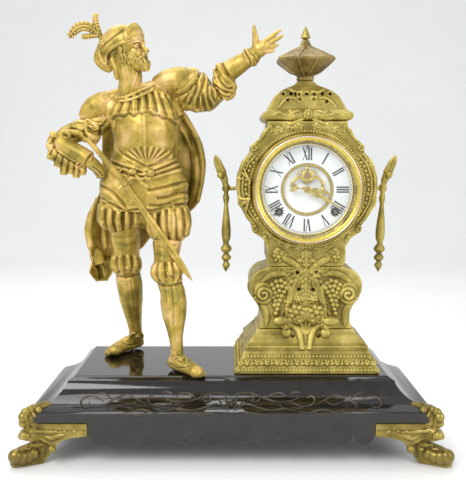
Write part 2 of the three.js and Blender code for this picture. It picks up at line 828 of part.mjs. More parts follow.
function piece(group, name, solid, material) {
  const mesh = new THREE.Mesh(geometryOf(solid), material);
  mesh.name = name;
  group.add(mesh);
}

// Base

function baseShell(grow = 0, inset = 0) {
  const half = base.deckWidth / 2;
  const levels = MOULDING_SHARES.map(([out, down]) => {
    const o = out * base.spread + grow - inset;
    const z = base.height - down * base.mouldingHeight + (down === 0 ? grow - inset : 0);
    return rectangle(-half - o, half + o, -base.deckFront - o, base.back + grow - inset, z);
  });
  const bottom = levels.at(-1).map(([x, y, z]) => [x, y, z - (inset ? OVERRUN : grow)]);
  return skin([...levels.slice(0, -1), bottom]);
}

const fasciaFoot = base.height - base.mouldingHeight;
const fasciaHalfWidth = base.deckWidth / 2 + base.spread;
const fasciaFront = base.deckFront + base.spread;
const armLength = fasciaHalfWidth - base.apronHalfLength - SEAT_GAP;

// Scalloped apron: big and small round lobes in turn, both ends with a big one.
function apronOutline() {
  const gapCount = bigLobeCount - 1;
  const pitch = (base.apronHalfLength - bigLobeRadius) / gapCount;
  const lobes = [];
  for (let i = 0; i <= gapCount * 2; i++) {
    const radius = i % 2 ? smallLobeRadius : bigLobeRadius;
    const x = -base.apronHalfLength + bigLobeRadius + i * pitch;
    lobes.push(arcPoints(x, base.apronBottom + bigLobeRadius, radius, -Math.PI, 0, lobeSteps));
  }
  const rise = base.apronBottom + bigLobeRadius;
  const lower = lobes.flat().filter(([x, z], i, all) => {
    const nearest = Math.round((x + base.apronHalfLength - bigLobeRadius) / pitch);
    const own = Math.floor(i / 7);
    return nearest === own || i === 0 || i === all.length - 1;
  });
  return [
    [-base.apronHalfLength, fasciaFoot + base.wall],
    [-base.apronHalfLength, rise],
    ...lower.slice(1, -1),
    [base.apronHalfLength, rise],
    [base.apronHalfLength, fasciaFoot + base.wall],
  ];
}

const figureBolts = FIGURE_BOLT_SHARES.map(([x, y]) => [
  figure.x + x * figure.height,
  figure.y + y * figure.height,
]);
const caseBolts = [-1, 1].map((side) => [clock.x + side * caseBolt.x, clock.y]);

function footStudPlace(flipX, flipY) {
  const inset = base.wall + base.bossSize / 2;
  return [(flipX ? 1 : -1) * (fasciaHalfWidth - inset), (flipY ? 1 : -1) * (base.back - inset)];
}
const sides = ["left", "right"];
const corners = [
  ["front_left", false, false],
  ["front_right", true, false],
  ["rear_left", false, true],
  ["rear_right", true, true],
];

function deckHole(x, y) {
  const underside = base.height - base.wall;
  return barZ(bolt.radius + RUN_GAP, underside - OVERRUN, base.height + OVERRUN, x, y, PIN_SIDES);
}

function baseCasting() {
  const apronFront = -fasciaFront + base.apronSetback;
  const outline = apronOutline();
  const sideRise = base.apronBottom + bigLobeRadius;
  const sideHalf = base.back - armLength - SEAT_GAP;
  const sidePlates = [-1, 1].map((side) => {
    const x = side * (fasciaHalfWidth - base.apronSetback);
    const inner = x - side * base.apronThick;
    return block(
      Math.min(x, inner),
      Math.max(x, inner),
      -sideHalf,
      sideHalf,
      sideRise,
      fasciaFoot + base.wall,
    );
  });
  const rear = block(
    -base.apronHalfLength,
    base.apronHalfLength,
    base.back - base.apronThick,
    base.back,
    sideRise,
    fasciaFoot + base.wall,
  );
  const bosses = corners.map(([, flipX, flipY]) => {
    const [x, y] = footStudPlace(flipX, flipY);
    const half = base.bossSize / 2 + base.wall / 2;
    return block(x - half, x + half, y - half, y + half, fasciaFoot, fasciaFoot + base.bossHeight);
  });
  const hollow = cutFrom(baseShell(0, base.wall), ...bosses);
  const apron = plate(outline, apronFront, apronFront + base.apronThick);
  const shell = joined(baseShell().subtract(hollow), apron, rear, ...sidePlates);
  const holes = [
    ...[...figureBolts, ...caseBolts].map(([x, y]) => deckHole(x, y)),
    ...corners.map(([, flipX, flipY]) => {
      const [x, y] = footStudPlace(flipX, flipY);
      return barZ(
        studRadius + RUN_GAP,
        fasciaFoot - OVERRUN,
        fasciaFoot + studLength + RUN_GAP,
        x,
        y,
        PIN_SIDES,
      );
    }),
  ];
  return cutFrom(shell, ...holes);
}

function footRings(rows, turn, setBack) {
  const cos = Math.cos(turn);
  const sin = Math.sin(turn);
  return rows.map(([r0, r1, w, share]) => {
    const half = w * foot.halfWidth;
    const tip = half * foot.tipShare;
    const [inner, outer, z] = [r0 * foot.reach, r1 * foot.reach, share * fasciaFoot];
    const ring = [
      [inner, -half],
      [outer - tip, -half],
      [outer, -tip],
      [outer, tip],
      [outer - tip, half],
      [inner, half],
    ];
    return ring.map(([out, across]) => [
      -fasciaHalfWidth - out * cos + across * sin,
      -fasciaFront - out * sin - across * cos + setBack,
      z,
    ]);
  });
}

function footLeg(rows) {
  const paw = footRings(PAW_SHARES, foot.pawTurn, foot.pawSetBack);
  return skin([...paw, ...footRings(rows, Math.PI / 4, 0)]);
}

function footArm() {
  const outline = ARM_SHARES.map(([x, z]) => [x * armLength, z * fasciaFoot]);
  return plate(outline, 0, foot.armThick);
}

function frontLeftFoot(rear) {
  const top = fasciaFoot - SEAT_GAP;
  const left = -fasciaHalfWidth;
  const front = -fasciaFront;
  const leg = footLeg(rear ? LEG_SHARES : [...LEG_SHARES, ...KNEE_SHARES]);
  const alongFront = geometryOf(footArm()).translate(left, front, 0);
  const alongSide = geometryOf(footArm()).rotateZ(QUARTER_TURN).translate(left + foot.armThick, front, 0);
  const padSize = base.wall + base.bossSize;
  const pad = block(left, left + padSize, front, front + padSize, top - foot.padThick, top);
  const [x, y] = footStudPlace(false, false);
  const stud = barZ(studRadius, top - foot.padThick, fasciaFoot + studLength, x, y, PIN_SIDES);
  return { casting: joined(leg, solidOf(alongFront), solidOf(alongSide), pad), stud };
}

// Bolt from below the deck up into a piece that stands on it.
function deckBolt(x, y, end) {
  const seat = base.height - base.wall - SEAT_GAP;
  return joined(
    barZ(bolt.headRadius, seat - bolt.headHeight, seat, x, y, boltSides),
    barZ(bolt.radius, seat - bolt.headHeight / 2, end, x, y, PIN_SIDES),
  );
}

function buildBase() {
  const group = new THREE.Group();
  piece(group, "base_casting", baseCasting(), finish.iron);
  const shell = baseShell(SEAT_GAP);
  for (const [corner, flipX, flipY] of corners) {
    const { casting, stud } = frontLeftFoot(flipY);
    const seated = cutFrom(flipped(casting, flipX, flipY), shell);
    piece(group, `foot_${corner}`, joined(seated, flipped(stud, flipX, flipY)), finish.gilt);
  }
  const ankle = base.height + figure.boltGrip;
  figureBolts.forEach(([x, y], i) => {
    piece(group, `figure_bolt_${sides[i]}`, deckBolt(x, y, ankle), finish.steel);
  });
  caseBolts.forEach(([x, y], i) => {
    piece(
      group,
      `case_bolt_${sides[i]}`,
      deckBolt(x, y, base.height + neckFoot + caseBolt.grip),
      finish.steel,
    );
  });
  return group;
}

// Clock case

const plinthTop = clock.plinthHeight;
const pedestalTop = plinthTop + clock.pedestalHeight;
const neckFoot = dialHeight - clock.drumDrop;
const drumTop = dialHeight + clock.drumRise;
const domeTop = drumTop + clock.domeHeight;

function caseHollow(z0, z1) {
  const w = clock.pedestalHollowHalfWidth;
  const d = clock.pedestalHollowHalfDepth;
  return block(-w, w, -d, d, z0, z1);
}

function plinth() {
  const levels = PLINTH_SHARES.map(([w, d, z]) => [
    w * clock.plinthHalfWidth,
    d * clock.plinthHalfDepth,
    SEAT_GAP + z * (plinthTop - SEAT_GAP),
  ]);
  return cutFrom(stepped(levels), caseHollow(-OVERRUN, plinthTop + OVERRUN));
}

function pedestal() {
  const foot0 = plinthTop + SEAT_GAP;
  const height = clock.pedestalHeight - SEAT_GAP;
  const half = PEDESTAL_SHARES.map(([w, z]) => [w * clock.scrollHalfWidth, foot0 + z * height]);
  const d = clock.pedestalHalfDepth;
  const trunk = plate(mirroredOutline(half), -d, d);
  return cutFrom(trunk, caseHollow(plinthTop - OVERRUN, pedestalTop + OVERRUN));
}

const scrollBoss = { x: 53, z: 98, radius: 11, proud: 3.5 };
const console_ = { x: 26, z: 52, curlRadius: 7.5, proud: 11, top: 78 };

// Volutes and the lower console stand on the pedestal's front face.
function pedestalFrontPieces() {
  const front = -clock.pedestalHalfDepth;
  const volutes = [-1, 1].map((side) =>
    barY(
      scrollBoss.radius,
      front - scrollBoss.proud,
      front + OVERRUN,
      side * scrollBoss.x,
      scrollBoss.z,
      ROUND_SIDES / 2,
    ),
  );
  const curlZ = console_.z + console_.curlRadius;
  const curls = [-1, 1].map((side) =>
    barY(console_.curlRadius, front - console_.proud, front + OVERRUN, side * console_.x, curlZ),
  );
  const trunk = block(
    -console_.x,
    console_.x,
    front - console_.proud / 2,
    front + OVERRUN,
    curlZ,
    console_.top,
  );
  return [...volutes, ...curls, trunk];
}

function drum() {
  const rise = clock.drumRise;
  const half = DRUM_SHARES.map(([w, z]) => [w * clock.drumHalfWidth, dialHeight + z * rise]);
  const neck = NECK_HALF_WIDTH_SHARE * clock.drumHalfWidth;
  const neckEnd = NECK_FOOT_HALF_WIDTH_SHARE * clock.drumHalfWidth;
  const step = (clock.drumDrop - rise) / 2;
  half.push([neck, neckFoot + step], [neckEnd, neckFoot + SEAT_GAP]);
  const d = clock.drumHalfDepth;
  const body = plate(mirroredOutline(half), -d, d);
  const bore = barY(clock.boreRadius, -d - OVERRUN, d - clock.rearWall, 0, dialHeight, DIAL_SIDES);
  const rearHole = barY(clock.rearHoleRadius, -OVERRUN, d + OVERRUN, 0, dialHeight);
  const s = clock.slotHalfWidth;
  const h = clock.pedestalHollowHalfDepth;
  const slot = block(-s, s, -h, h, neckFoot - OVERRUN, dialHeight);
  const rodHoles = [-1, 1].map((side) =>
    barZ(
      bolt.radius + RUN_GAP,
      neckFoot - OVERRUN,
      neckFoot + caseBolt.grip + OVERRUN,
      side * caseBolt.x,
      0,
      PIN_SIDES,
    ),
  );
  return cutFrom(body, bore, rearHole, slot, ...rodHoles);
}

function domeLevels(inset) {
  const halfWidth = clock.corniceHalfWidth;
  const halfDepth = halfWidth * CORNICE_DEPTH_SHARE;
  return DOME_SHARES.map(([w, d, z]) => [
    Math.max(w * halfWidth - inset, 1),
    Math.max(d * halfDepth - inset, 1),
    drumTop + SEAT_GAP + z * (clock.domeHeight - SEAT_GAP - inset),
  ]);
}

function dome() {
  const inner = stepped(domeLevels(clock.wall).slice(0, -1));
  const half = clock.corniceHalfWidth * PIERCE_SPAN_SHARE * DOME_SHARES[7][0];
  const z = drumTop + clock.domeHeight * PIERCE_HEIGHT_SHARE;
  const depth = clock.corniceHalfWidth;
  const holes = Array.from({ length: pierceCount }, (_, i) => {
    const x = half * ((2 * i) / (pierceCount - 1) - 1);
    return barY(pierceRadius, -depth, 0, x, z, boltSides);
  });
  const [mouthHalfWidth, mouthHalfDepth] = domeLevels(clock.wall)[0];
  const open = stepped([
    [mouthHalfWidth, mouthHalfDepth, drumTop - OVERRUN],
    [mouthHalfWidth, mouthHalfDepth, drumTop + clock.wall],
  ]);
  const stud = barZ(studRadius + RUN_GAP, domeTop - clock.domeHeight / 2, domeTop + OVERRUN, 0, 0, PIN_SIDES);
  return cutFrom(stepped(domeLevels(0)), inner, open, stud, ...holes);
}

function octagon(half, z) {
  const c = half * (1 - URN_CHAMFER_SHARE);
  return [[half, -c], [half, c], [c, half], [-c, half], [-half, c], [-half, -c], [-c, -half], [c, -half]].map(
    ([x, y]) => [x, y, z],
  );
}

function urnBody() {
  const foot0 = domeTop + SEAT_GAP;
  const rings = URN_SHARES.map(([w, z]) => octagon(w * urn.halfWidth, foot0 + z * urn.height));
  const stud = barZ(studRadius, domeTop - clock.wall * 2, domeTop + clock.wall, 0, 0, PIN_SIDES);
  const top = foot0 + urn.height;
  const socket = barZ(
    spike.stemRadius + RUN_GAP,
    top - spike.stemLength - OVERRUN,
    top + OVERRUN,
    0,
    0,
    PIN_SIDES,
  );
  return joined(skin(rings), stud).subtract(socket);
}

function urnSpike() {
  const foot0 = domeTop + SEAT_GAP + urn.height + SEAT_GAP;
  const profile = SPIKE_SHARES.map(([r, z]) => [r * spike.radius, foot0 + z * spike.height]);
  return joined(
    turnedZ(profile),
    barZ(spike.stemRadius, foot0 - spike.stemLength, foot0 + OVERRUN, 0, 0, PIN_SIDES),
  );
}

// Side drop: leaf above, turned reed and beads below, held by a stem on the drum's lobe.
function sideDrop(side) {
  const x = clock.drumHalfWidth + drop.standOff;
  const z = dialHeight;
  const turned = turnedZ(
    DROP_SHARES.map(([r, down]) => [r * drop.length, z - down * drop.length]).reverse(),
    PIN_SIDES,
  );
  const moved = solidOf(geometryOf(turned).translate(x, drop.depth, 0));
  const leaf = limb(
    LEAF_SHARES.map(([lean, up, w]) => [
      x - lean * drop.leafLean,
      drop.depth,
      z + up * drop.leafLength,
      w * drop.leafLength,
      w * drop.leafLength,
    ]),
    6,
  );
  const bud = ball(drop.ballRadius * 0.8, x + drop.ballRadius * 0.6, drop.depth, z + drop.leafLength / 2);
  const boss = ball(drop.ballRadius, x, drop.depth, z);
  const stem = strut(
    [clock.drumHalfWidth + SEAT_GAP, drop.depth, z],
    [x, drop.depth, z],
    drop.ballRadius / 2,
  );
  const hanging = geometryOf(joined(moved, leaf, bud, boss)).translate(-x, 0, -z);
  const leaning = solidOf(hanging.rotateY(side > 0 ? rightDropLean : 0).translate(x, 0, z));
  return flipped(joined(leaning, stem), side < 0, false);
}

function gongPost() {
  const z = dialHeight - gongDrop;
  const front = gong.depth - gong.wireRadius * 2;
  return barY(gong.postRadius, front, clock.pedestalHollowHalfDepth - SEAT_GAP, 0, z);
}

// One unbroken wire that winds outwards from the post.
function gongCoil() {
  const z = dialHeight - gongDrop;
  const steps = Math.round(gong.turns * 16);
  const inner = gong.postRadius + gong.wireRadius + SEAT_GAP;
  const rings = Array.from({ length: steps + 1 }, (_, i) => {
    const share = i / steps;
    const turn = share * gong.turns * FULL_TURN;
    const r = inner + (gong.radius - inner) * share;
    const centre = [r * Math.cos(turn), gong.depth, z + r * Math.sin(turn)];
    return Array.from({ length: 5 }, (_, j) => {
      const a = (FULL_TURN * j) / 5;
      const out = gong.wireRadius * Math.cos(a);
      return [
        centre[0] + out * Math.cos(turn),
        centre[1] + gong.wireRadius * Math.sin(a),
        centre[2] + out * Math.sin(turn),
      ];
    });
  });
  return skin(rings);
}

// Doors

const bezelBack = -clock.drumHalfDepth - SEAT_GAP;
const bezelPin = { x: -bezel.radius - hinge.offset, y: bezelBack - hinge.knuckleRadius };
const coverBack = clock.drumHalfDepth + SEAT_GAP;
const coverPin = { x: -rearCover.radius - hinge.offset, y: coverBack + hinge.knuckleRadius };

// Hinge knuckle around a pin, with an ear that reaches the piece that carries it.
function knuckle(pin, z0, z1, earX, earY0, earY1) {
  const tube = barZ(hinge.knuckleRadius, z0, z1, pin.x, pin.y);
  const [x0, x1] = [Math.min(pin.x, earX), Math.max(pin.x, earX)];
  const [y0, y1] = [Math.min(earY0, earY1), Math.max(earY0, earY1)];
  const ear = block(x0, x1, y0, y1, z0, z1);
  return joined(tube, ear);
}

function pinHole(pin) {
  const reach = hinge.knuckle * 2;
  return barZ(hinge.pinRadius + RUN_GAP, dialHeight - reach, dialHeight + reach, pin.x, pin.y, PIN_SIDES);
}

function hingePin(pin) {
  const reach = hinge.knuckle * 1.5 + SEAT_GAP;
  return barZ(hinge.pinRadius, dialHeight - reach, dialHeight + reach, pin.x, pin.y, PIN_SIDES);
}

// The outer pair of knuckles is cast on the drum, the middle one belongs to the door.
function fixedKnuckles(pin, face) {
  const z = dialHeight;
  const near = hinge.knuckle / 2 + SEAT_GAP;
  const far = hinge.knuckle * 1.5;
  return [-1, 1].map((side) => {
    const z0 = Math.min(z + side * near, z + side * far);
    const z1 = Math.max(z + side * near, z + side * far);
    const inner = face + (face > 0 ? -OVERRUN : OVERRUN);
    return knuckle(pin, z0, z1, pin.x - hinge.knuckleRadius, inner, pin.y);
  });
}

function atDialHeight(solid) {
  return solidOf(geometryOf(solid).translate(0, 0, dialHeight));
}

function bezelRing() {
  const seat = bezel.front + bezel.lip;
  const profile = [
    [bezel.lipRadius, seat],
    [bezel.lipRadius, bezel.front + bezel.lip / 2],
    [bezel.lipRadius + bezel.lip / 2, bezel.front],
    [bezel.seatRadius, bezel.front],
    [bezel.radius - bezel.lip / 2, bezel.front + bezel.lip],
    [bezel.radius, bezel.front + bezel.lip * 2],
    [bezel.radius, bezelBack],
    [bezel.seatRadius, bezelBack],
    [bezel.seatRadius, seat],
    [bezel.lipRadius, seat],
  ];
  const ring = atDialHeight(turnedY(profile, DIAL_SIDES));
  const half = hinge.knuckle / 2;
  const z = dialHeight;
  const ear = knuckle(bezelPin, z - half, z + half, -bezel.seatRadius - OVERRUN, bezelBack, bezelPin.y);
  return joined(ring, ear).subtract(pinHole(bezelPin));
}

function rearCoverDisc() {
  const rim = rearCover.radius * rearCover.rimShare;
  const back = coverBack + rearCover.thick;
  const profile = [
    [0, coverBack],
    [rearCover.radius, coverBack],
    [rearCover.radius, back],
    [rim, back],
    [rim * rearCover.rimShare, back + rearCover.dome],
    [0, back + rearCover.dome],
  ];
  const disc = atDialHeight(turnedY(profile));
  const half = hinge.knuckle / 2;
  const z = dialHeight;
  const knobX = rearCover.radius - rearCover.knobRadius * 1.5;
  const knob = barY(rearCover.knobRadius, back, back + rearCover.knobLength, knobX, z);
  const ear = knuckle(coverPin, z - half, z + half, -rearCover.radius + OVERRUN * 2, coverBack, coverPin.y);
  return joined(disc, knob, ear).subtract(pinHole(coverPin));
}

// Dial

const ringBack = dial.ringFront + dial.ringThick;
const panFront = ringBack + SEAT_GAP;
const panBack = panFront + dial.panThick;
const discBack = ringBack;
const discFront = discBack - dial.discThick;
const windings = [-1, 1].map((side) => [side * greatAxle[0], greatAxle[1]]);

function holeY(radius, y0, y1, x, z) {
  return barY(radius, y0 - OVERRUN, y1 + OVERRUN, x, z);
}

const arborHole = movement.arborRadius + RUN_GAP;

function dialSurround() {
  const inner = dial.ringOuterRadius + SEAT_GAP;
  return turnedY(
    [
      [surround.radius, surround.front],
      [surround.radius, ringBack],
      [inner, ringBack],
      [inner, surround.throatFront],
      [surround.mouthRadius, surround.front],
      [surround.radius, surround.front],
    ],
    48,
  );
}

function dialPan() {
  const disc = barY(clock.boreRadius - SEAT_GAP, panFront, panBack, 0, 0, DIAL_SIDES);
  const holes = [
    holeY(pipeRadius + RUN_GAP, panFront, panBack, 0, 0),
    holeY(arborHole, panFront, panBack, 0, escape.z),
    holeY(arborHole, panFront, panBack, 0, escape.anchorZ),
    holeY(arborHole, panFront, panBack, 0, dial.regulatorZ),
    ...windings.map(([x, z]) => holeY(dial.windingHoleRadius, panFront, panBack, x, z)),
  ];
  return cutFrom(disc, ...holes);
}

function chapterRing() {
  const ring = ringY(dial.ringOuterRadius, dial.ringInnerRadius, dial.ringFront, ringBack, DIAL_SIDES);
  const holes = windings.map(([x, z]) => holeY(dial.windingHoleRadius, dial.ringFront, ringBack, x, z));
  return cutFrom(ring, ...holes, holeY(arborHole + RUN_GAP, dial.ringFront, ringBack, 0, dial.regulatorZ));
}

function centreDisc() {
  const disc = barY(dial.centreRingInnerRadius - SEAT_GAP, discFront, discBack, 0, 0, ROUND_SIDES);
  return cutFrom(
    disc,
    holeY(pipeRadius + RUN_GAP, discFront, discBack, 0, 0),
    holeY(arborHole, discFront, discBack, 0, escape.z),
    holeY(arborHole, discFront, discBack, 0, escape.anchorZ),
  );
}

function handPlate(length, degrees, front, hubRadius) {
  const along = QUARTER_TURN - THREE.MathUtils.degToRad(degrees);
  const half = HAND_SHARES.map(([l, w]) => [l * length, (w * hand.width) / 2]);
  const outline = [...half, ...half.map(([l, w]) => [l, -w]).reverse()];
  const turned = outline.map(([l, w]) => [
    l * Math.cos(along) - w * Math.sin(along),
    l * Math.sin(along) + w * Math.cos(along),
  ]);
  return joined(
    plate(turned, front, front + hand.thick),
    barY(hubRadius, front, front + hand.thick, 0, 0, ROUND_SIDES / 2),
  );
}

// Movement. Its wheels turn about axles given as [x, z] from the dial's centre.

const centreAxle = [0, 0];
const greatDistance = ((greatTeeth + leaves) * trainModule) / 2;
const secondDistance = ((secondTeeth + leaves) * trainModule) / 2;
const thirdDistance = ((centreTeeth + leaves) * trainModule) / 2;
const escapeDistance = ((thirdTeeth + leaves) * trainModule) / 2;
const strikeDistance = ((strikeTeeth + leaves) * trainModule) / 2;
const escapeAxle = [0, escape.z];
const anchorAxle = [0, escape.anchorZ];
const secondAxle = crossing(centreAxle, secondDistance, greatAxle, greatDistance);
const lowerSecond = secondRise < 0 ? crossing(
  greatAxle,
  greatDistance,
  centreAxle,
  secondDistance,
) : secondAxle;
const thirdAxle = crossing(escapeAxle, escapeDistance, centreAxle, thirdDistance);
const strikeGreat = [-greatAxle[0], greatAxle[1]];

function reachFrom(start, direction, distance) {
  const length = Math.hypot(...direction);
  return [start[0] + (direction[0] * distance) / length, start[1] + (direction[1] * distance) / length];
}

const strikeAxle = reachFrom(strikeGreat, STRIKE_SHARES, greatDistance);
const flyAxle = reachFrom(strikeAxle, FLY_SHARES, strikeDistance);
const minuteDistance = ((cannonTeeth + minuteTeeth) * motionModule) / 2;
const minuteAxle = reachFrom(
  centreAxle,
  [Math.cos(minuteWheelAngle), Math.sin(minuteWheelAngle)],
  minuteDistance,
);

const frontPlateBack = movement.frontPlate + movement.plateThick;
const backPlateBack = movement.backPlate + movement.plateThick;
const pivotFront = movement.frontPlate - RUN_GAP;
const pivotBack = backPlateBack + RUN_GAP;

function arbor(axle, y0 = pivotFront, y1 = pivotBack) {
  return barY(movement.arborRadius, y0, y1, ...axle, PIN_SIDES);
}

function wheelAt(axle, teeth, tip, front) {
  return wheel(teeth, trainModule, tip, front, front + wheelThick, ...axle);
}

// Pinion whose gap faces the wheel at driver, half way along that wheel's thickness.
function pinionAt(axle, driver, front) {
  const middle = front + wheelThick / 2;
  const tip = gapFacing(angleBetween(driver, axle), leaves);
  return wheel(leaves, trainModule, tip, middle - pinionLength / 2, middle + pinionLength / 2, ...axle);
}

function greatWheel(axle, next) {
  const body = joined(
    wheelAt(axle, greatTeeth, angleBetween(axle, next), plane.great),
    barY(
      barrel.radius,
      plane.great + wheelThick / 2,
      plane.great + wheelThick + barrel.length,
      ...axle,
      ROUND_SIDES / 2,
    ),
  );
  return body.subtract(
    holeY(windingArbor.radius + RUN_GAP, plane.great, plane.great + barrel.length, ...axle),
  );
}

function windingArborAt(axle) {
  const round = barY(windingArbor.radius, windingArbor.front, pivotBack, ...axle, PIN_SIDES);
  return round;
}

function secondWheel() {
  return joined(
    arbor(lowerSecond),
    wheelAt(lowerSecond, secondTeeth, angleBetween(lowerSecond, centreAxle), plane.second),
    pinionAt(lowerSecond, greatAxle, plane.great),
  );
}

function centreWheel() {
  const cannonTip = minuteWheelAngle;
  return joined(
    arbor(centreAxle, hand.minuteFront - OVERRUN / 2, pivotBack),
    wheelAt(centreAxle, centreTeeth, angleBetween(centreAxle, thirdAxle), plane.centre),
    pinionAt(centreAxle, lowerSecond, plane.second),
    wheel(cannonTeeth, motionModule, cannonTip, plane.minute, plane.minute + motionThick, 0, 0),
  );
}

function thirdWheel() {
  return joined(
    arbor(thirdAxle),
    wheelAt(thirdAxle, thirdTeeth, angleBetween(thirdAxle, escapeAxle), plane.third),
    pinionAt(thirdAxle, centreAxle, plane.centre),
  );
}

function escapeWheel() {
  const points = [];
  for (let i = 0; i < escapeTeeth; i++) {
    const a = (FULL_TURN * i) / escapeTeeth;
    const root = escape.radius * 0.74;
    const b = a + (FULL_TURN * 0.3) / escapeTeeth;
    points.push(
      [escape.radius * Math.cos(a), escape.radius * Math.sin(a)],
      [root * Math.cos(b), root * Math.sin(b)],
    );
  }
  const outline = points.map(([x, z]) => [x, z + escape.z]);
  const middle = plane.third + wheelThick / 2 + pinionLength / 2;
  return joined(
    plate(outline, plane.escape, plane.escape + escape.thick),
    arbor(escapeAxle, bridge.front - RUN_GAP, middle),
    pinionAt(escapeAxle, thirdAxle, plane.third),
  );
}

function minuteWheel() {
  const tip = gapFacing(minuteWheelAngle, minuteTeeth);
  const leafTip = angleBetween(minuteAxle, centreAxle);
  return joined(
    wheel(minuteTeeth, motionModule, tip, plane.minute, plane.minute + motionThick, ...minuteAxle),
    wheel(minuteLeaves, hourModule, leafTip, plane.hour, plane.minute + motionThick / 2, ...minuteAxle),
    arbor(minuteAxle, plane.hour - RUN_GAP, frontPlateBack + RUN_GAP),
  );
}

function hourHand() {
  const tip = gapFacing(angleBetween(minuteAxle, centreAxle), hourTeeth);
  const body = joined(
    handPlate(hand.hourLength, hand.hourDegrees, hand.hourFront, pipeRadius * 1.7),
    barY(pipeRadius, hand.hourFront, plane.hour + motionThick, 0, 0),
    wheel(hourTeeth, hourModule, tip, plane.hour, plane.hour + motionThick, 0, 0),
  );
  return body.subtract(holeY(arborHole, hand.hourFront, plane.hour + motionThick, 0, 0));
}

function minuteHand() {
  return handPlate(hand.minuteLength, hand.minuteDegrees, hand.minuteFront, pipeRadius * 1.4).subtract(
    holeY(movement.arborRadius + SEAT_GAP / 2, hand.minuteFront, hand.minuteFront + hand.thick, 0, 0),
  );
}

function strikeWheel() {
  return joined(
    arbor(strikeAxle),
    wheelAt(strikeAxle, strikeTeeth, angleBetween(strikeAxle, flyAxle), plane.second),
    pinionAt(strikeAxle, strikeGreat, plane.great),
  );
}

function flyWheel() {
  const half = fly.length / 2;
  const [x, z] = flyAxle;
  return joined(
    arbor(flyAxle),
    pinionAt(flyAxle, strikeAxle, plane.second),
    block(x - fly.thick / 2, x + fly.thick / 2, fly.front, fly.back, z - half, z + half),
  );
}

function plateAt(front) {
  const w = movement.plateHalfWidth;
  const h = movement.plateHalfHeight;
  return block(-w, w, front, front + movement.plateThick, -h, h);
}

const trainHoles = (front) =>
  [centreAxle, lowerSecond, thirdAxle, strikeAxle, flyAxle].map((axle) =>
    holeY(arborHole, front, front + movement.plateThick, ...axle),
  );
const windingHoles = (front) =>
  windings.map((axle) => holeY(windingArbor.radius + RUN_GAP, front, front + movement.plateThick, ...axle));

function frontPlate() {
  const front = movement.frontPlate;
  const feet = [-1, 1].flatMap((side) =>
    [-1, 1].map((up) =>
      barY(
        movement.dialFootRadius,
        panBack + SEAT_GAP,
        front + OVERRUN / 2,
        side * movement.dialFootX,
        up * movement.dialFootZ,
      ),
    ),
  );
  const holes = [escapeAxle, anchorAxle, minuteAxle, [hammer.x, hammer.z]].map((axle) =>
    holeY(arborHole, front, frontPlateBack, ...axle),
  );
  return cutFrom(joined(plateAt(front), ...feet), ...holes, ...trainHoles(front), ...windingHoles(front));
}

function backPlate() {
  const front = movement.backPlate;
  const pillars = pillarPlaces.map((place) =>
    barY(movement.pillarRadius, frontPlateBack + SEAT_GAP, front + OVERRUN / 2, ...place),
  );
  const tab = block(-movement.tabHalfWidth, movement.tabHalfWidth, front, backPlateBack, 0, movement.tabTop);
  const suspension = block(-cock.halfWidth, cock.halfWidth, front, cock.reach, cock.bottom, cock.top);
  const holes = [anchorAxle, [hammer.x, hammer.z], [0, dial.regulatorZ]].map((axle) =>
    holeY(arborHole, front, backPlateBack, ...axle),
  );
  return cutFrom(
    joined(plateAt(front), tab, suspension, ...pillars),
    ...holes,
    ...trainHoles(front),
    ...windingHoles(front),
  );
}

function escapementBridge() {
  const back = bridge.front + bridge.thick;
  const span = [
    [-bridge.footX - bridge.footRadius, -bridge.footRadius],
    [-bridge.footX + bridge.footRadius, -bridge.footRadius],
    [-bridge.footRadius, escape.z - bridge.boss],
    [bridge.footRadius, escape.z - bridge.boss],
    [bridge.footX - bridge.footRadius, -bridge.footRadius],
    [bridge.footX + bridge.footRadius, -bridge.footRadius],
    [bridge.boss, escape.anchorZ + bridge.boss],
    [-bridge.boss, escape.anchorZ + bridge.boss],
  ];
  const feet = [-1, 1].map((side) =>
    barY(bridge.footRadius, bridge.front, discFront - SEAT_GAP, side * bridge.footX, 0),
  );
  return cutFrom(
    joined(plate(span, bridge.front, back), ...feet),
    holeY(arborHole, bridge.front, back, ...escapeAxle),
    holeY(arborHole, bridge.front, back, ...anchorAxle),
  );
}

// Anchor over the escape wheel, with its arbor and the crutch behind the back plate.
const anchorSpan = [Math.PI / BAR_SIDES, Math.PI - Math.PI / BAR_SIDES];
function palletAnchor() {
  const [x, z] = anchorAxle;
  const inner = escape.radius + escape.swingGap;
  const outer = inner + escape.thick;
  const arc = [
    ...arcPoints(0, escape.z, outer, ...anchorSpan, BAR_SIDES),
    ...arcPoints(0, escape.z, inner, ...[...anchorSpan].reverse(), BAR_SIDES),
  ];
  const stem = block(
    x - crutch.radius,
    x + crutch.radius,
    plane.escape,
    plane.escape + escape.thick,
    escape.z + inner,
    z,
  );
  const rod = crutch.radius;
  const wire = block(x - rod, x + rod, crutch.y - rod, crutch.y + rod, crutch.bottom, z);
  const side = pendulum.rodRadius + RUN_GAP;
  const fork = [-1, 1].map((turn) => {
    const a = x + turn * side;
    const b = x + turn * (side + rod);
    return block(
      Math.min(a, b),
      Math.max(a, b),
      crutch.y,
      pendulum.depth + crutch.fork,
      crutch.bottom,
      crutch.bottom + rod * 2,
    );
  });
  const arm = side + rod;
  const yoke = block(
    x - arm,
    x + arm,
    crutch.y - rod,
    crutch.y + rod,
    crutch.bottom,
    crutch.bottom + rod * 2,
  );
  return joined(
    plate(arc, plane.escape, plane.escape + escape.thick),
    stem,
    arbor(anchorAxle, bridge.front - RUN_GAP, crutch.y),
    wire,
    yoke,
    ...fork,
  );
}

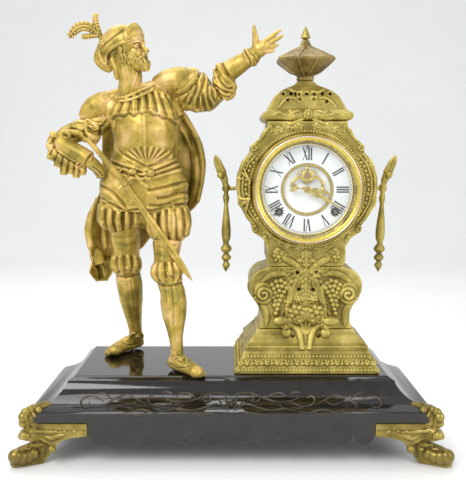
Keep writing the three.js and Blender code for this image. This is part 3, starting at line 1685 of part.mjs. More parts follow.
function pendulumSolid() {
  const [x, z] = anchorAxle;
  const bob = z - pendulum.length;
  const half = pendulum.springHalfWidth;
  const y = pendulum.depth;
  const r = pendulum.rodRadius;
  const spring = block(x - half, x + half, y - r, y + r, z - pendulum.springHeight, z + crutch.fork);
  const lens = turnedY(
    [
      [0, -pendulum.bobThick / 2],
      [pendulum.bobRadius * 0.7, -pendulum.bobThick / 3],
      [pendulum.bobRadius, 0],
      [pendulum.bobRadius * 0.7, pendulum.bobThick / 3],
      [0, pendulum.bobThick / 2],
    ],
    24,
  );
  const placed = solidOf(geometryOf(lens).translate(x, y, bob));
  const rod = barZ(r, bob - pendulum.bobRadius - OVERRUN, z - crutch.fork, x, y, PIN_SIDES);
  return joined(spring, rod, placed);
}

function hammerSolid() {
  const half = hammer.headLength / 2;
  return joined(
    arbor([hammer.x, hammer.z]),
    strut([hammer.x, gong.depth, hammer.z], [hammerHead[0], gong.depth, hammerHead[1]], hammer.rodRadius),
    barY(hammer.headRadius, gong.depth - half, gong.depth + half, ...hammerHead),
  );
}

function regulatorArbor() {
  return arbor([0, dial.regulatorZ], dial.ringFront - OVERRUN / 2, pivotBack);
}

function buildCase() {
  const group = new THREE.Group();
  group.position.set(clock.x, clock.y, base.height);
  const bolts = [-1, 1].map(
    (side) => barZ(bolt.radius + RUN_GAP, -OVERRUN, neckFoot, side * caseBolt.x, 0, PIN_SIDES),
  );
  piece(group, "case_plinth", cutFrom(plinth(), ...bolts), finish.bronze);
  piece(
    group,
    "case_pedestal",
    cutFrom(joined(pedestal(), ...pedestalFrontPieces()), ...bolts),
    finish.bronze,
  );
  const doorHinges = [
    ...fixedKnuckles(bezelPin, -clock.drumHalfDepth),
    ...fixedKnuckles(coverPin, clock.drumHalfDepth),
  ];
  const casing = cutFrom(joined(drum(), ...doorHinges), pinHole(bezelPin), pinHole(coverPin));
  piece(group, "case_drum", casing, finish.bronze);
  piece(group, "case_dome", dome(), finish.bronze);
  piece(group, "urn_finial", urnBody(), finish.bronze);
  piece(group, "urn_spike", urnSpike(), finish.bronze);
  piece(group, "side_drop_left", sideDrop(-1), finish.bronze);
  piece(group, "side_drop_right", sideDrop(1), finish.bronze);
  piece(group, "gong_post", gongPost(), finish.brass);
  piece(group, "gong_coil", gongCoil(), finish.steel);
  piece(group, "rear_cover", rearCoverDisc(), finish.bronze);
  piece(group, "rear_cover_pin", hingePin(coverPin), finish.steel);
  piece(group, "bezel", bezelRing(), finish.gilt);
  piece(group, "bezel_pin", hingePin(bezelPin), finish.steel);
  return group;
}

function buildMovement() {
  const group = new THREE.Group();
  group.position.set(clock.x, clock.y, base.height + dialHeight);
  const glassFront = bezel.front + bezel.lip + SEAT_GAP;
  piece(
    group,
    "bezel_glass",
    barY(glass.radius, glassFront, glassFront + glass.thick, 0, 0, DIAL_SIDES),
    finish.glass,
  );
  piece(group, "dial_surround", dialSurround(), finish.gilt);
  piece(group, "dial_pan", dialPan(), finish.brass);
  piece(group, "chapter_ring", chapterRing(), finish.porcelain);
  piece(group, "centre_disc", centreDisc(), finish.porcelain);
  const rim = dial.ringInnerRadius - SEAT_GAP;
  const rimFront = dial.ringFront - dial.centreRingProud;
  piece(group, "centre_ring", ringY(rim, dial.centreRingInnerRadius, rimFront, ringBack), finish.gilt);
  piece(group, "minute_hand", minuteHand(), finish.gilt);
  piece(group, "hour_hand", hourHand(), finish.gilt);
  piece(group, "escapement_bridge", escapementBridge(), finish.brass);
  piece(group, "pallet_anchor", palletAnchor(), finish.steel);
  piece(group, "escape_wheel", escapeWheel(), finish.brass);
  piece(group, "regulator_arbor", regulatorArbor(), finish.steel);
  piece(group, "winding_arbor_left", windingArborAt(windings[0]), finish.steel);
  piece(group, "winding_arbor_right", windingArborAt(windings[1]), finish.steel);
  piece(group, "front_plate", frontPlate(), finish.brass);
  piece(group, "back_plate", backPlate(), finish.brass);
  piece(group, "great_wheel", greatWheel(greatAxle, lowerSecond), finish.brass);
  piece(group, "strike_great_wheel", greatWheel(strikeGreat, strikeAxle), finish.brass);
  piece(group, "second_wheel", secondWheel(), finish.brass);
  piece(group, "centre_wheel", centreWheel(), finish.brass);
  piece(group, "third_wheel", thirdWheel(), finish.brass);
  piece(group, "minute_wheel", minuteWheel(), finish.brass);
  piece(group, "strike_wheel", strikeWheel(), finish.brass);
  piece(group, "fly", flyWheel(), finish.brass);
  piece(group, "hammer", hammerSolid(), finish.steel);
  piece(group, "pendulum", pendulumSolid(), finish.brass);
  return group;
}

// Figure

function sized(table) {
  return table.map((row) => row.map((share) => share * figure.height));
}

function figureLimb(table, sides = figure.sides, grow = 0) {
  return limb(sized(table), sides, grow);
}

// Sheet of cloth that hangs behind the figure, from edges given at several heights.
function capeSheet(grow = 0) {
  const columns = 5;
  const rings = sized(CAPE_SHARES).map(([left, right, z, y]) => {
    const place = (i, back) => {
      const share = i / (columns - 1);
      const bulge = cape.bulge * Math.sin(Math.PI * share);
      return [
        left - grow + (right - left + grow * 2) * share,
        y + bulge + (back ? cape.thick + grow : -grow),
        z,
      ];
    };
    const front = Array.from({ length: columns }, (_, i) => place(i, false));
    const rear = Array.from({ length: columns }, (_, i) => place(columns - 1 - i, true));
    return [...front, ...rear];
  });
  return skin(rings);
}

function buildFigure() {
  const group = new THREE.Group();
  group.position.set(figure.x, figure.y, base.height);
  const g = SEAT_GAP;
  const grown = (...tables) => tables.map((table) => figureLimb(table, figure.sides, g));
  const deck = block(-figure.height, figure.height, -figure.height, figure.height, -figure.height, g);
  const boltHoles = FIGURE_BOLT_SHARES.map(([x, y]) =>
    barZ(
      bolt.radius + RUN_GAP,
      -OVERRUN,
      figure.boltGrip + RUN_GAP,
      x * figure.height,
      y * figure.height,
      PIN_SIDES,
    ),
  );

  const torso = figureLimb(TORSO_SHARES, TORSO_SIDES);
  const torsoGrown = figureLimb(TORSO_SHARES, TORSO_SIDES, g);
  piece(group, "figure_torso", torso, finish.spelter);
  const hoseTables = [LEFT_HOSE_SHARES, CROTCH_SHARES, RIGHT_HOSE_SHARES];
  const hose = joined(...hoseTables.map((table) => figureLimb(table, HOSE_SIDES)));
  piece(group, "figure_hose", cutFrom(hose, torsoGrown), finish.spelter);
  const hoseGrown = hoseTables.map((table) => figureLimb(table, HOSE_SIDES, g));
  const legs = [
    ["left", LEFT_LEG_SHARES, LEFT_SHOE_SHARES],
    ["right", RIGHT_LEG_SHARES, RIGHT_SHOE_SHARES],
  ];
  legs.forEach(([side, leg, shoe], i) => {
    const solid = cutFrom(
      joined(figureLimb(leg), figureLimb(shoe)),
      ...hoseGrown,
      torsoGrown,
      deck,
      boltHoles[i],
    );
    piece(group, `figure_leg_${side}`, solid, finish.spelter);
  });
  const head = joined(figureLimb(HEAD_SHARES), figureLimb(BEARD_SHARES, SMALL_SIDES));
  piece(group, "figure_head", cutFrom(head, torsoGrown), finish.spelter);
  const helmet = joined(
    figureLimb(HELMET_SHARES),
    ...[EAR_GUARD_SHARES, PLUME_SHARES, SIDE_PLUME_SHARES].map((table) => figureLimb(table, SMALL_SIDES)),
  );
  piece(
    group,
    "figure_helmet",
    cutFrom(helmet, ...grown(HEAD_SHARES, BEARD_SHARES), torsoGrown),
    finish.spelter,
  );
  const hand = [THUMB_SHARES, FORE_FINGER_SHARES, MIDDLE_FINGER_SHARES, LAST_FINGER_SHARES].map((table) =>
    figureLimb(table, FINGER_SIDES),
  );
  const raised = cutFrom(joined(figureLimb(RAISED_ARM_SHARES), ...hand), torsoGrown);
  piece(group, "figure_arm_raised", raised, finish.spelter);
  const bentTables = [BENT_ARM_SHARES, GAUNTLET_SHARES, HIP_HAND_SHARES];
  const bent = cutFrom(joined(...bentTables.map((table) => figureLimb(table))), torsoGrown, ...hoseGrown);
  piece(group, "figure_arm_bent", bent, finish.spelter);
  const limbs = grown(RAISED_ARM_SHARES, ...bentTables, LEFT_LEG_SHARES, RIGHT_LEG_SHARES);
  const blockers = [torsoGrown, ...hoseGrown, ...limbs];
  piece(group, "figure_cape", cutFrom(capeSheet(), ...blockers), finish.spelter);
  const sword = joined(
    figureLimb(BLADE_SHARES, FINGER_SIDES),
    figureLimb(GRIP_SHARES, SMALL_SIDES),
    crossguard(),
  );
  piece(group, "figure_sword", cutFrom(sword, ...blockers), finish.spelter);
  return group;
}

function crossguard() {
  const [from, to] = sized(GUARD_SHARES);
  return strut(from, to, guardRadius);
}

const scene = new THREE.Group();
scene.add(buildBase(), buildCase(), buildMovement(), buildFigure());
export default scene;
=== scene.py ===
# Looks of the figural mantel clock: its ornament, cloth, face and numerals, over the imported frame.
# Lengths are in millimetres in the row frame, and MM turns them into Blender's metres.
import json
import math

import bpy
import numpy as np
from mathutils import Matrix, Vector
from mathutils.bvhtree import BVHTree

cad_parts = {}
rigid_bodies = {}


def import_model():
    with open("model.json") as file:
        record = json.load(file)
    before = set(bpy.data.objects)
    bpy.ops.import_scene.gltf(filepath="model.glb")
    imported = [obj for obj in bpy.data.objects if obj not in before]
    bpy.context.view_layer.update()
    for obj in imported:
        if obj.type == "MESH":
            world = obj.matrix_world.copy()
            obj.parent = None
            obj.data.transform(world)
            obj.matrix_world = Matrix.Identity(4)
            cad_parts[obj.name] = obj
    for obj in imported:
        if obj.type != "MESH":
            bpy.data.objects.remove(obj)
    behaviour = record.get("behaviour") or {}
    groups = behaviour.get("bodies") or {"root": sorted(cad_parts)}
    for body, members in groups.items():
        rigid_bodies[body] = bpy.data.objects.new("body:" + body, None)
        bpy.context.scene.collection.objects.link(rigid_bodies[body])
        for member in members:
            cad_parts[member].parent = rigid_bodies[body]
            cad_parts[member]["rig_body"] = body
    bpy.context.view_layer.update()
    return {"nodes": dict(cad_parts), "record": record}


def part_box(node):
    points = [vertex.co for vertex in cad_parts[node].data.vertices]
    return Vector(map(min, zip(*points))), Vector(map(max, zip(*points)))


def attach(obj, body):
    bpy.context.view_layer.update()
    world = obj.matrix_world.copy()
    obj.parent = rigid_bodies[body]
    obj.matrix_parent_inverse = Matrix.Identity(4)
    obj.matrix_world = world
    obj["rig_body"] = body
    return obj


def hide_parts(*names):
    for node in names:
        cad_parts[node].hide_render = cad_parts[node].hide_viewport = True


MM = 0.001
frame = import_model()
NODES = frame["nodes"]
BODY_OF = {name: thing["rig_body"] for name, thing in NODES.items()}
ROOT_BODY = BODY_OF["base_casting"]

# The camera stands where the photograph's did. Picture points are (x, y) in its 466 x 480 frame.
CAMERA = np.array((0, -890.5, 354.7))
CAMERA_DOWN = math.radians(6.35)
CAMERA_SIN, CAMERA_COS = math.sin(CAMERA_DOWN), math.cos(CAMERA_DOWN)
PICTURE_HEIGHT = 480
FOCAL_PIXELS = 719
PICTURE_CENTRE = (231.3, 240)
CENTRE_OFFSET_PIXELS = 1.7
TOWARDS_CAMERA = (0, -1, 0)
BOTH = (-1, 1)


def box(node):
    """Lowest and highest corner of a CAD node, in millimetres."""
    low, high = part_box(node)
    return np.array(low) / MM, np.array(high) / MM


def middle(node):
    """Middle of a CAD node's box, in millimetres."""
    return sum(box(node)) / 2


def sight(x, y):
    """Direction from the camera through a picture point."""
    right = (x - PICTURE_CENTRE[0]) / FOCAL_PIXELS
    down = (y - PICTURE_CENTRE[1]) / FOCAL_PIXELS
    return np.array((right, CAMERA_COS - down * CAMERA_SIN, -CAMERA_SIN - down * CAMERA_COS))


# Materials

def new_material(name, values=()):
    """New material, its tree and its shader. values go by the shader's input name."""
    material = bpy.data.materials.new(name)
    material.use_nodes = True
    shader = material.node_tree.nodes["Principled BSDF"]
    for key, value in dict(values).items():
        shader.inputs[key].default_value = value
    return material, material.node_tree, shader


def feed(tree, shader, colour=None, roughness=None):
    """Wires the shader's colour and roughness."""
    for source, socket in ((colour, "Base Color"), (roughness, "Roughness")):
        if source is not None:
            tree.links.new(source, shader.inputs[socket])


def node(tree, kind, values=(), links=(), **settings):
    """Adds a shader node. values and links go by input name or number."""
    made = tree.nodes.new(kind)
    for key, value in settings.items():
        setattr(made, key, value)
    for key, value in dict(values).items():
        made.inputs[key].default_value = value
    for key, source in dict(links).items():
        tree.links.new(source, made.inputs[key])
    return made


def place(tree, stretch=(1, 1, 1)):
    """Surface position in millimetres."""
    coordinates = node(tree, "ShaderNodeTexCoord").outputs["Object"]
    scale = tuple(s / MM for s in stretch)
    return node(tree, "ShaderNodeMapping", {"Scale": scale}, {"Vector": coordinates}).outputs[0]


def noise(tree, where, size, detail=4.0, roughness=0.6):
    """Noise whose features are about size millimetres across."""
    values = {"Scale": 1 / size, "Detail": detail, "Roughness": roughness}
    return node(tree, "ShaderNodeTexNoise", values, {"Vector": where}).outputs["Fac"]


def ramp(tree, factor, stops):
    """Colour ramp over (place, colour) stops. A colour is a grey level or red, green and blue."""
    made = node(tree, "ShaderNodeValToRGB", (), {"Fac": factor})
    band = made.color_ramp
    while len(band.elements) < len(stops):
        band.elements.new(0.5)
    for element, (at, colour) in zip(band.elements, stops):
        element.position = at
        rgb = colour if isinstance(colour, tuple) else (colour,) * 3
        element.color = (*rgb, 1)
    return made.outputs["Color"]


def mixed(tree, factor, a, b, blend="MIX"):
    """Colour a turned into b by a factor. Each is a socket, a colour or a number."""
    made = node(tree, "ShaderNodeMix", data_type="RGBA", blend_type=blend)
    for socket, source in ((made.inputs["Factor"], factor), (made.inputs[6], a), (made.inputs[7], b)):
        if isinstance(source, bpy.types.NodeSocket):
            tree.links.new(source, socket)
        elif isinstance(source, tuple):
            socket.default_value = (*source, 1)
        else:
            socket.default_value = source
    return made.outputs[2]


def bumped(tree, shader, height, strength, distance):
    """Fine unevenness of the surface, up to a distance in millimetres."""
    values = {"Strength": strength, "Distance": distance * MM}
    made = node(tree, "ShaderNodeBump", values, {"Height": height})
    tree.links.new(made.outputs[0], shader.inputs["Normal"])


def relief_shade_and_highlight(tree):
    """Grey level for painted shade and painted highlight: dark in hollows and bright on edges."""
    pointed = node(tree, "ShaderNodeNewGeometry").outputs["Pointiness"]
    return ramp(tree, pointed, [(0.44, 0.0), (0.5, 0.5), (0.56, 1.0)])


def patina(name, dark, olive, gold, highlight_colour, roughness=0.45, metallic=0.6):
    """Cast metal with a worn finish: painted shade, brown, in the hollows, olive and gold between, and a
    painted highlight on the edges and in random patches.
    """
    material, tree, shader = new_material(name, {"Metallic": metallic})
    where = place(tree)
    clouds = noise(tree, where, 26, 5)
    grain = noise(tree, where, 1.4, 3)
    # The random patches reach the painted highlight colour.
    body = ramp(tree, clouds, [(0.38, olive), (0.52, gold), (0.68, highlight_colour)])
    speckle = ramp(tree, grain, [(0.3, 0.7), (0.62, 1.0)])
    body = mixed(tree, 0.7, body, speckle, "MULTIPLY")
    relief = relief_shade_and_highlight(tree)
    # Painted shade: the hollows are darkened.
    hollow_shade = ramp(tree, relief, [(0.0, 1.0), (0.42, 0.35), (0.58, 0.0)])
    body = mixed(tree, hollow_shade, body, dark)
    # Painted highlight: the edges are lightened.
    edge = ramp(tree, relief, [(0.55, 0.0), (0.95, 0.7)])
    body = mixed(tree, edge, body, highlight_colour)
    rough = ramp(tree, noise(tree, where, 9, 4), [(0.3, roughness - 0.08), (0.7, roughness + 0.12)])
    feed(tree, shader, body, rough)
    bumped(tree, shader, grain, 0.18, 0.35)
    return material


def enamel():
    """Black enamel, near a mirror, with faint dust and rubbing."""
    gloss = {"Coat Weight": 0.3, "Coat Roughness": 0.04, "Specular IOR Level": 0.5}
    material, tree, shader = new_material("black_enamel", gloss)
    where = place(tree)
    dust = noise(tree, where, 16, 6)
    colour = ramp(tree, dust, [(0.4, (0.006, 0.005, 0.004)), (0.75, (0.018, 0.015, 0.011))])
    rubbed = ramp(tree, noise(tree, place(tree, (0.2, 1, 1)), 3, 4), [(0.35, 0.05), (0.75, 0.17)])
    feed(tree, shader, colour, rubbed)
    bumped(tree, shader, noise(tree, where, 22, 2), 0.02, 0.2)
    return material


def metal(name, colour, roughness, tarnish):
    """Polished or satin metal with slight tarnish and fine lines."""
    material, tree, shader = new_material(name, {"Metallic": 1.0})
    spots = ramp(tree, noise(tree, place(tree), 7, 5), [(0.42, 0.0), (0.78, 0.8)])
    lines = noise(tree, place(tree, (1, 1, 14)), 5, 3)
    rough = ramp(tree, lines, [(0.3, max(roughness - 0.06, 0.04)), (0.7, roughness + 0.08)])
    feed(tree, shader, mixed(tree, spots, colour, tarnish), rough)
    bumped(tree, shader, lines, 0.04, 0.2)
    return material


def porcelain():
    """Cool white glaze with a faint unevenness."""
    material, tree, shader = new_material("porcelain", {"Coat Weight": 0.4, "Coat Roughness": 0.03})
    where = place(tree)
    tone = ramp(tree, noise(tree, where, 30, 3), [(0.3, (0.76, 0.8, 0.81)), (0.7, (0.83, 0.86, 0.86))])
    glaze = ramp(tree, noise(tree, where, 12, 2), [(0.3, 0.08), (0.7, 0.16)])
    feed(tree, shader, tone, glaze)
    bumped(tree, shader, noise(tree, where, 9, 2), 0.03, 0.3)
    return material


def dial_paint():
    """Black of the numerals, slightly worn."""
    material, tree, shader = new_material("dial_paint", {"Roughness": 0.3})
    tones = [(0.3, (0.008, 0.008, 0.009)), (0.8, (0.03, 0.03, 0.033))]
    feed(tree, shader, ramp(tree, noise(tree, place(tree), 2, 3), tones))
    return material


def clear_glass():
    """Clear pane with a weak sheen and faint smears."""
    values = {"Base Color": (0.95, 0.98, 0.97, 1), "Alpha": 0.035}
    material, tree, shader = new_material("clear_glass", values)
    smear = ramp(tree, noise(tree, place(tree), 18, 4), [(0.4, 0.03), (0.8, 0.12)])
    feed(tree, shader, roughness=smear)
    return material


# Worn castings: colours of the painted shade in hollows, of olive, of gold and of the painted highlight on
# edges, and where given roughness and share of metal.
WORN_WITH_PAINTED_LIGHT = {
    "case_bronze": ((0.04, 0.026, 0.006), (0.27, 0.21, 0.038), (0.45, 0.355, 0.078), (0.68, 0.54, 0.15)),
    "figure_bronze": (
        (0.05, 0.03, 0.006), (0.3, 0.23, 0.03), (0.57, 0.4, 0.07), (0.86, 0.58, 0.24), 0.45, 0.5,
    ),
    "feet_gilt": (
        (0.035, 0.02, 0.005), (0.19, 0.14, 0.03), (0.31, 0.23, 0.045), (0.48, 0.37, 0.1), 0.36, 0.65,
    ),
    "aged_gilt": (
        (0.05, 0.03, 0.006), (0.26, 0.19, 0.035), (0.44, 0.32, 0.06), (0.66, 0.5, 0.15), 0.34, 0.75,
    ),
    "orange_gilt": ((0.16, 0.08, 0.01), (0.42, 0.27, 0.02), (0.62, 0.46, 0.05), (0.8, 0.64, 0.13), 0.36, 0.7),
    "urn_bronze": ((0.03, 0.015, 0.005), (0.17, 0.115, 0.03), (0.3, 0.21, 0.065), (0.46, 0.36, 0.13)),
    "rubbed_gilt": (
        (0.04, 0.032, 0.022), (0.13, 0.1, 0.065), (0.27, 0.21, 0.135), (0.55, 0.45, 0.3), 0.35, 0.4,
    ),
}
# Polished or satin metals: colour, roughness and tarnish.
CLEAN = {
    "gilt_brass": ((0.62, 0.48, 0.11), 0.26, (0.36, 0.26, 0.05)),
    "brass": ((0.55, 0.38, 0.13), 0.28, (0.24, 0.15, 0.05)),
    "steel": ((0.24, 0.23, 0.22), 0.32, (0.1, 0.09, 0.08)),
    # This colour is a painted highlight, for the pale ring in the bezel.
    "painted_highlight_line": ((0.85, 0.72, 0.62), 0.2, (0.6, 0.45, 0.3)),
}
# Finishes by name. Those of the record's slots have the slots' names.
FINISHES = {name: patina(name, *values) for name, values in WORN_WITH_PAINTED_LIGHT.items()}
FINISHES |= {name: metal(name, *values) for name, values in CLEAN.items()}
FINISHES |= {"black_enamel_iron": enamel(), "glass": clear_glass()}
FINISHES |= {"porcelain": porcelain(), "dial_paint": dial_paint()}


def paint(thing, slot, finish=None):
    """Gives a piece the finish of the record's slot, unless another finish is named."""
    thing.data.materials.clear()
    thing.data.materials.append(FINISHES[finish or slot])


# Lumps: closed surfaces as (points in millimetres, faces)

def loft(rings):
    """Closed skin over rings of equally many points."""
    rings = np.array(rings, float)
    count, sides = rings.shape[:2]
    faces = []
    for i in range(count - 1):
        for j in range(sides):
            k = (j + 1) % sides
            faces.append((i * sides + j, i * sides + k, (i + 1) * sides + k, (i + 1) * sides + j))
    faces.append(tuple(range(sides))[::-1])
    faces.append(tuple(range((count - 1) * sides, count * sides)))
    return rings.reshape(-1, 3), faces


def merged(lumps):
    """Several lumps as one, still apart from each other."""
    points, faces, start = [], [], 0
    for some, their in lumps:
        points.append(some)
        faces += [tuple(i + start for i in face) for face in their]
        start += len(some)
    return np.vstack(points), faces


def circle(count):
    """Even directions round a circle, in radians."""
    return np.linspace(0, 2 * np.pi, count, endpoint=False)


def unit(vectors):
    vectors = np.array(vectors, float)
    return vectors / np.maximum(np.linalg.norm(vectors, axis=-1, keepdims=True), 1e-9)


def curve(points, steps=4):
    """Smooth curve through the points."""
    p = np.array(points, float)
    p = np.vstack([2 * p[0] - p[1], p, 2 * p[-1] - p[-2]])
    t = np.linspace(0, 1, steps, endpoint=False)[:, None]
    stretches = []
    for a, b, c, d in zip(p, p[1:], p[2:], p[3:]):
        bend = (2 * a - 5 * b + 4 * c - d) * t**2 + (3 * b - a - 3 * c + d) * t**3
        stretches.append(0.5 * (2 * b + (c - a) * t + bend))
    return np.vstack([*stretches, p[-2:-1]])


def upright(profile, foot, lean):
    """Turned upright piece from (height, radius) pairs over foot; lean is its sideways slope."""
    rings = []
    for z, r in profile:
        x = foot[0] - lean * z
        rings.append([(x + r * math.cos(a), foot[1] + r * math.sin(a), foot[2] + z) for a in circle(20)])
    return loft(rings)


# Shares of a rod's radius along it.
SWELL = np.array((0.35, 0.85, 1, 0.85, 0.35))
TAPER = np.array((0.5, 1, 0.9, 0.6, 0.15))


def rod(points, radii, up=TOWARDS_CAMERA, flat=1.0, sides=8, steps=4):
    """Bar along a smooth curve. radii is one radius or several spread along it; flat squashes it along up."""
    path = curve(points, steps)
    radii = np.atleast_1d(np.array(radii, float))
    size = np.interp(np.linspace(0, 1, len(path)), np.linspace(0, 1, len(radii)), radii)
    along = unit(np.gradient(path, axis=0))
    across = unit(np.cross(along, np.broadcast_to(np.array(up, float), path.shape)))
    out = np.cross(across, along)
    turn = circle(sides)[None, :, None]
    ring = np.cos(turn) * across[:, None] + flat * np.sin(turn) * out[:, None]
    return loft(path[:, None] + size[:, None, None] * ring)


def egg(centre, radii, axes=None, sides=12, rows=7):
    """Ellipsoid with half lengths along X, Y and Z, or along the three given axes."""
    polar = np.linspace(0, np.pi, rows + 2)[1:-1]
    polar = np.concatenate([[0.08], polar, [np.pi - 0.08]])[:, None]
    turn = circle(sides)[None, :]
    width = np.sin(polar)
    shape = np.stack([width * np.cos(turn), width * np.sin(turn), np.cos(polar) + 0 * turn], -1)
    shape = shape * np.broadcast_to(np.array(radii, float), 3)
    if axes is not None:
        shape = shape @ np.array(axes, float)
    return loft(shape + np.array(centre, float))


def turned(profile, centre, sides=96):
    """Ring or disc turned about the Y axis through centre, from a closed outline of (radius, y)."""
    points, faces, count = [], [], len(profile)
    for a in circle(sides):
        sin, cos = math.sin(a), math.cos(a)
        points += [(centre[0] + r * sin, centre[1] + y, centre[2] + r * cos) for r, y in profile]
    for i in range(sides):
        for j in range(count):
            k, n = (j + 1) % count, (i + 1) % sides
            faces.append((i * count + j, n * count + j, n * count + k, i * count + k))
    return np.array(points), faces


def solid(name):
    """Lump of a CAD node, with its doubled points joined."""
    data = NODES[name].data
    places = np.empty(len(data.vertices) * 3)
    data.vertices.foreach_get("co", places)
    points, index = np.unique(np.round(places.reshape(-1, 3) / MM, 3), axis=0, return_inverse=True)
    index = index.reshape(-1)
    return points, [tuple(index[list(face.vertices)]) for face in data.polygons]


def link(name, data):
    thing = bpy.data.objects.new(name, data)
    bpy.context.scene.collection.objects.link(thing)
    return thing


def new_mesh(name, lump):
    points, faces = lump
    data = bpy.data.meshes.new(name)
    data.from_pydata((np.array(points) * MM).tolist(), [], [[int(i) for i in face] for face in faces])
    return link(name, data)


def melted(lump, voxel, passes):
    """One even skin round a lump, smoothed in passes."""
    thing = new_mesh("melting", lump)
    remesh = thing.modifiers.new("voxels", "REMESH")
    remesh.mode = "VOXEL"
    remesh.voxel_size = voxel * MM
    smooth = thing.modifiers.new("smooth", "SMOOTH")
    smooth.factor = 0.5
    smooth.iterations = passes
    made = bpy.data.meshes.new_from_object(thing.evaluated_get(bpy.context.evaluated_depsgraph_get()))
    points = np.empty(len(made.vertices) * 3)
    made.vertices.foreach_get("co", points)
    corners = np.empty(len(made.loops), int)
    made.loops.foreach_get("vertex_index", corners)
    bpy.data.objects.remove(thing)
    bpy.data.meshes.remove(made)
    return points.reshape(-1, 3) / MM, corners.reshape(-1, 4).tolist()


def piece(name, lump, slot, stands_for=None, body=ROOT_BODY, finish=None, sharp=None):
    """Finished piece of the scene, on its own body or on that of the CAD node that it stands for.

    sharp is the angle, in degrees, past which an edge stays crisp.
    """
    thing = new_mesh(name, lump)
    thing.data.shade_smooth()
    if sharp:
        thing.data.set_sharp_from_angle(angle=math.radians(sharp))
    paint(thing, slot, finish)
    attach(thing, BODY_OF.get(stands_for, body))
    if stands_for:
        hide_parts(stands_for)
    return thing


def soften(thing, width, **settings):
    """Bevels a piece's edges, by a width in millimetres."""
    edges = thing.modifiers.new("soft_edges", "BEVEL")
    edges.width = width * MM
    edges.segments = 2
    for key, value in settings.items():
        setattr(edges, key, value)


# Rays start this far out, and where one misses, these are about how far the surface is.
RAY_START = 300
FRONT_REACH = 240
CAMERA_REACH = 850


class Skin:
    """Surface that ornament is laid on."""

    def __init__(self, lump):
        points, faces = lump
        self.tree = BVHTree.FromPolygons([Vector(p) for p in points], faces)

    def along(self, start, direction, lift=0.0, reach=FRONT_REACH):
        """First point that a ray hits, or where it misses the one nearest to its place at reach."""
        hit, normal, _, _ = self.tree.ray_cast(Vector(start), Vector(direction))
        if hit is None:
            hit, normal, _, _ = self.tree.find_nearest(Vector(start) + Vector(direction) * reach)
        return np.array(hit) + np.array(normal) * lift

    def seen(self, x, y, lift=0.0):
        """Point of the surface that shows at a picture point."""
        return self.along(CAMERA, unit(sight(x, y)), lift, CAMERA_REACH)

    def front(self, x, z, lift=0.0):
        """Point of the surface that lies behind (x, z) when seen straight from the front."""
        return self.along((x, -RAY_START, z), (0, 1, 0), lift)

    def strokes(self, lines, radius, flat=0.7, shape=SWELL):
        """Ridges along lines of picture points."""
        return [rod([self.seen(*p) for p in line], radius * shape, flat=flat) for line in lines]


def in_picture(points):
    """Picture points at which points of the model show."""
    away = points - CAMERA
    depth = away[:, 1] * CAMERA_COS - away[:, 2] * CAMERA_SIN
    down = -(away[:, 1] * CAMERA_SIN + away[:, 2] * CAMERA_COS)
    shown = np.stack([away[:, 0], down], -1) / depth[:, None]
    return np.array(PICTURE_CENTRE) + FOCAL_PIXELS * shown


def through(x, y, depth):
    """Point at a depth along Y that shows at a picture point."""
    direction = sight(x, y)
    return CAMERA + direction * (depth - CAMERA[1]) / direction[1]


def gaps(spots, path):
    """Distances from picture points to a line."""
    step = path[1:] - path[:-1]
    share = ((spots[:, None] - path[:-1]) * step).sum(-1) / (step**2).sum(-1)
    feet = path[:-1] + np.clip(share, 0, 1)[..., None] * step
    return np.linalg.norm(spots[:, None] - feet, axis=-1).min(1)


def outward(points, faces):
    """Directions in which the skin faces at its points."""
    corners = np.array(faces).T
    a, b, c, d = (points[corner] for corner in corners)
    sides = np.cross(c - a, d - b)
    total = np.zeros_like(points)
    for corner in corners:
        np.add.at(total, corner, sides)
    return unit(total)


def sculpted(lump, brushes):
    """Skin raised or sunk with soft brushes: (lines of picture points, half width in pixels, rise in mm)."""
    points, faces = lump
    normals = outward(points, faces)
    facing = np.clip((normals @ np.array(TOWARDS_CAMERA) + 0.2) * 3, 0, 1)
    spots = in_picture(points)
    rise = np.zeros(len(points))
    for lines, width, height in brushes:
        for line in lines:
            path = curve(line, 3)
            low, high = path.min(0) - 3 * width, path.max(0) + 3 * width
            near = ((spots > low) & (spots < high)).all(1) & (facing > 0)
            rise[near] += height * np.exp(-((gaps(spots[near], path) / width) ** 2))
    return points + normals * (rise * facing)[:, None], faces


def between(lines):
    """Lines half way between neighbours."""
    pairs = zip(lines, lines[1:])
    return [[((a + c) / 2, (b + d) / 2) for (a, b), (c, d) in zip(one, two)] for one, two in pairs]


def sheet(grid, thick):
    """Thin curved plate through a grid of points."""
    grid = np.array(grid, float)
    down, across = np.gradient(grid, axis=0), np.gradient(grid, axis=1)
    out = unit(np.cross(down, across)) * thick / 2
    rings = []
    for row, lift in zip(grid, out):
        rings.append(np.vstack([row + lift, (row - lift)[::-1]]))
    return loft(rings)


def gathered(points, a, b, reach, count, depth):
    """Folds round the axis from a to b, for the points less than reach away from it.

    They are deepest half way from a to b, and end there.
    """
    a, b = np.array(a, float), np.array(b, float)
    axis = unit(b - a)
    side = unit(np.cross(axis, (0.03, 1, 0.02)))
    other = np.cross(axis, side)
    away = points - a
    t = away @ axis / np.linalg.norm(b - a)
    radial = away - (away @ axis)[:, None] * axis
    turn = np.arctan2(radial @ other, radial @ side)
    near = np.linalg.norm(radial, axis=1) < reach
    wave = np.cos(count * turn) + 0.35 * np.cos((count * 2 + 1) * turn + 1.3)
    rise = np.where((t > 0) & (t < 1), np.sin(np.pi * np.clip(t, 0, 1)), 0)
    return points + unit(radial) * (depth * wave * rise * near)[:, None]


# Figure. Lines are picture points, laid on the figure's skin from the camera.

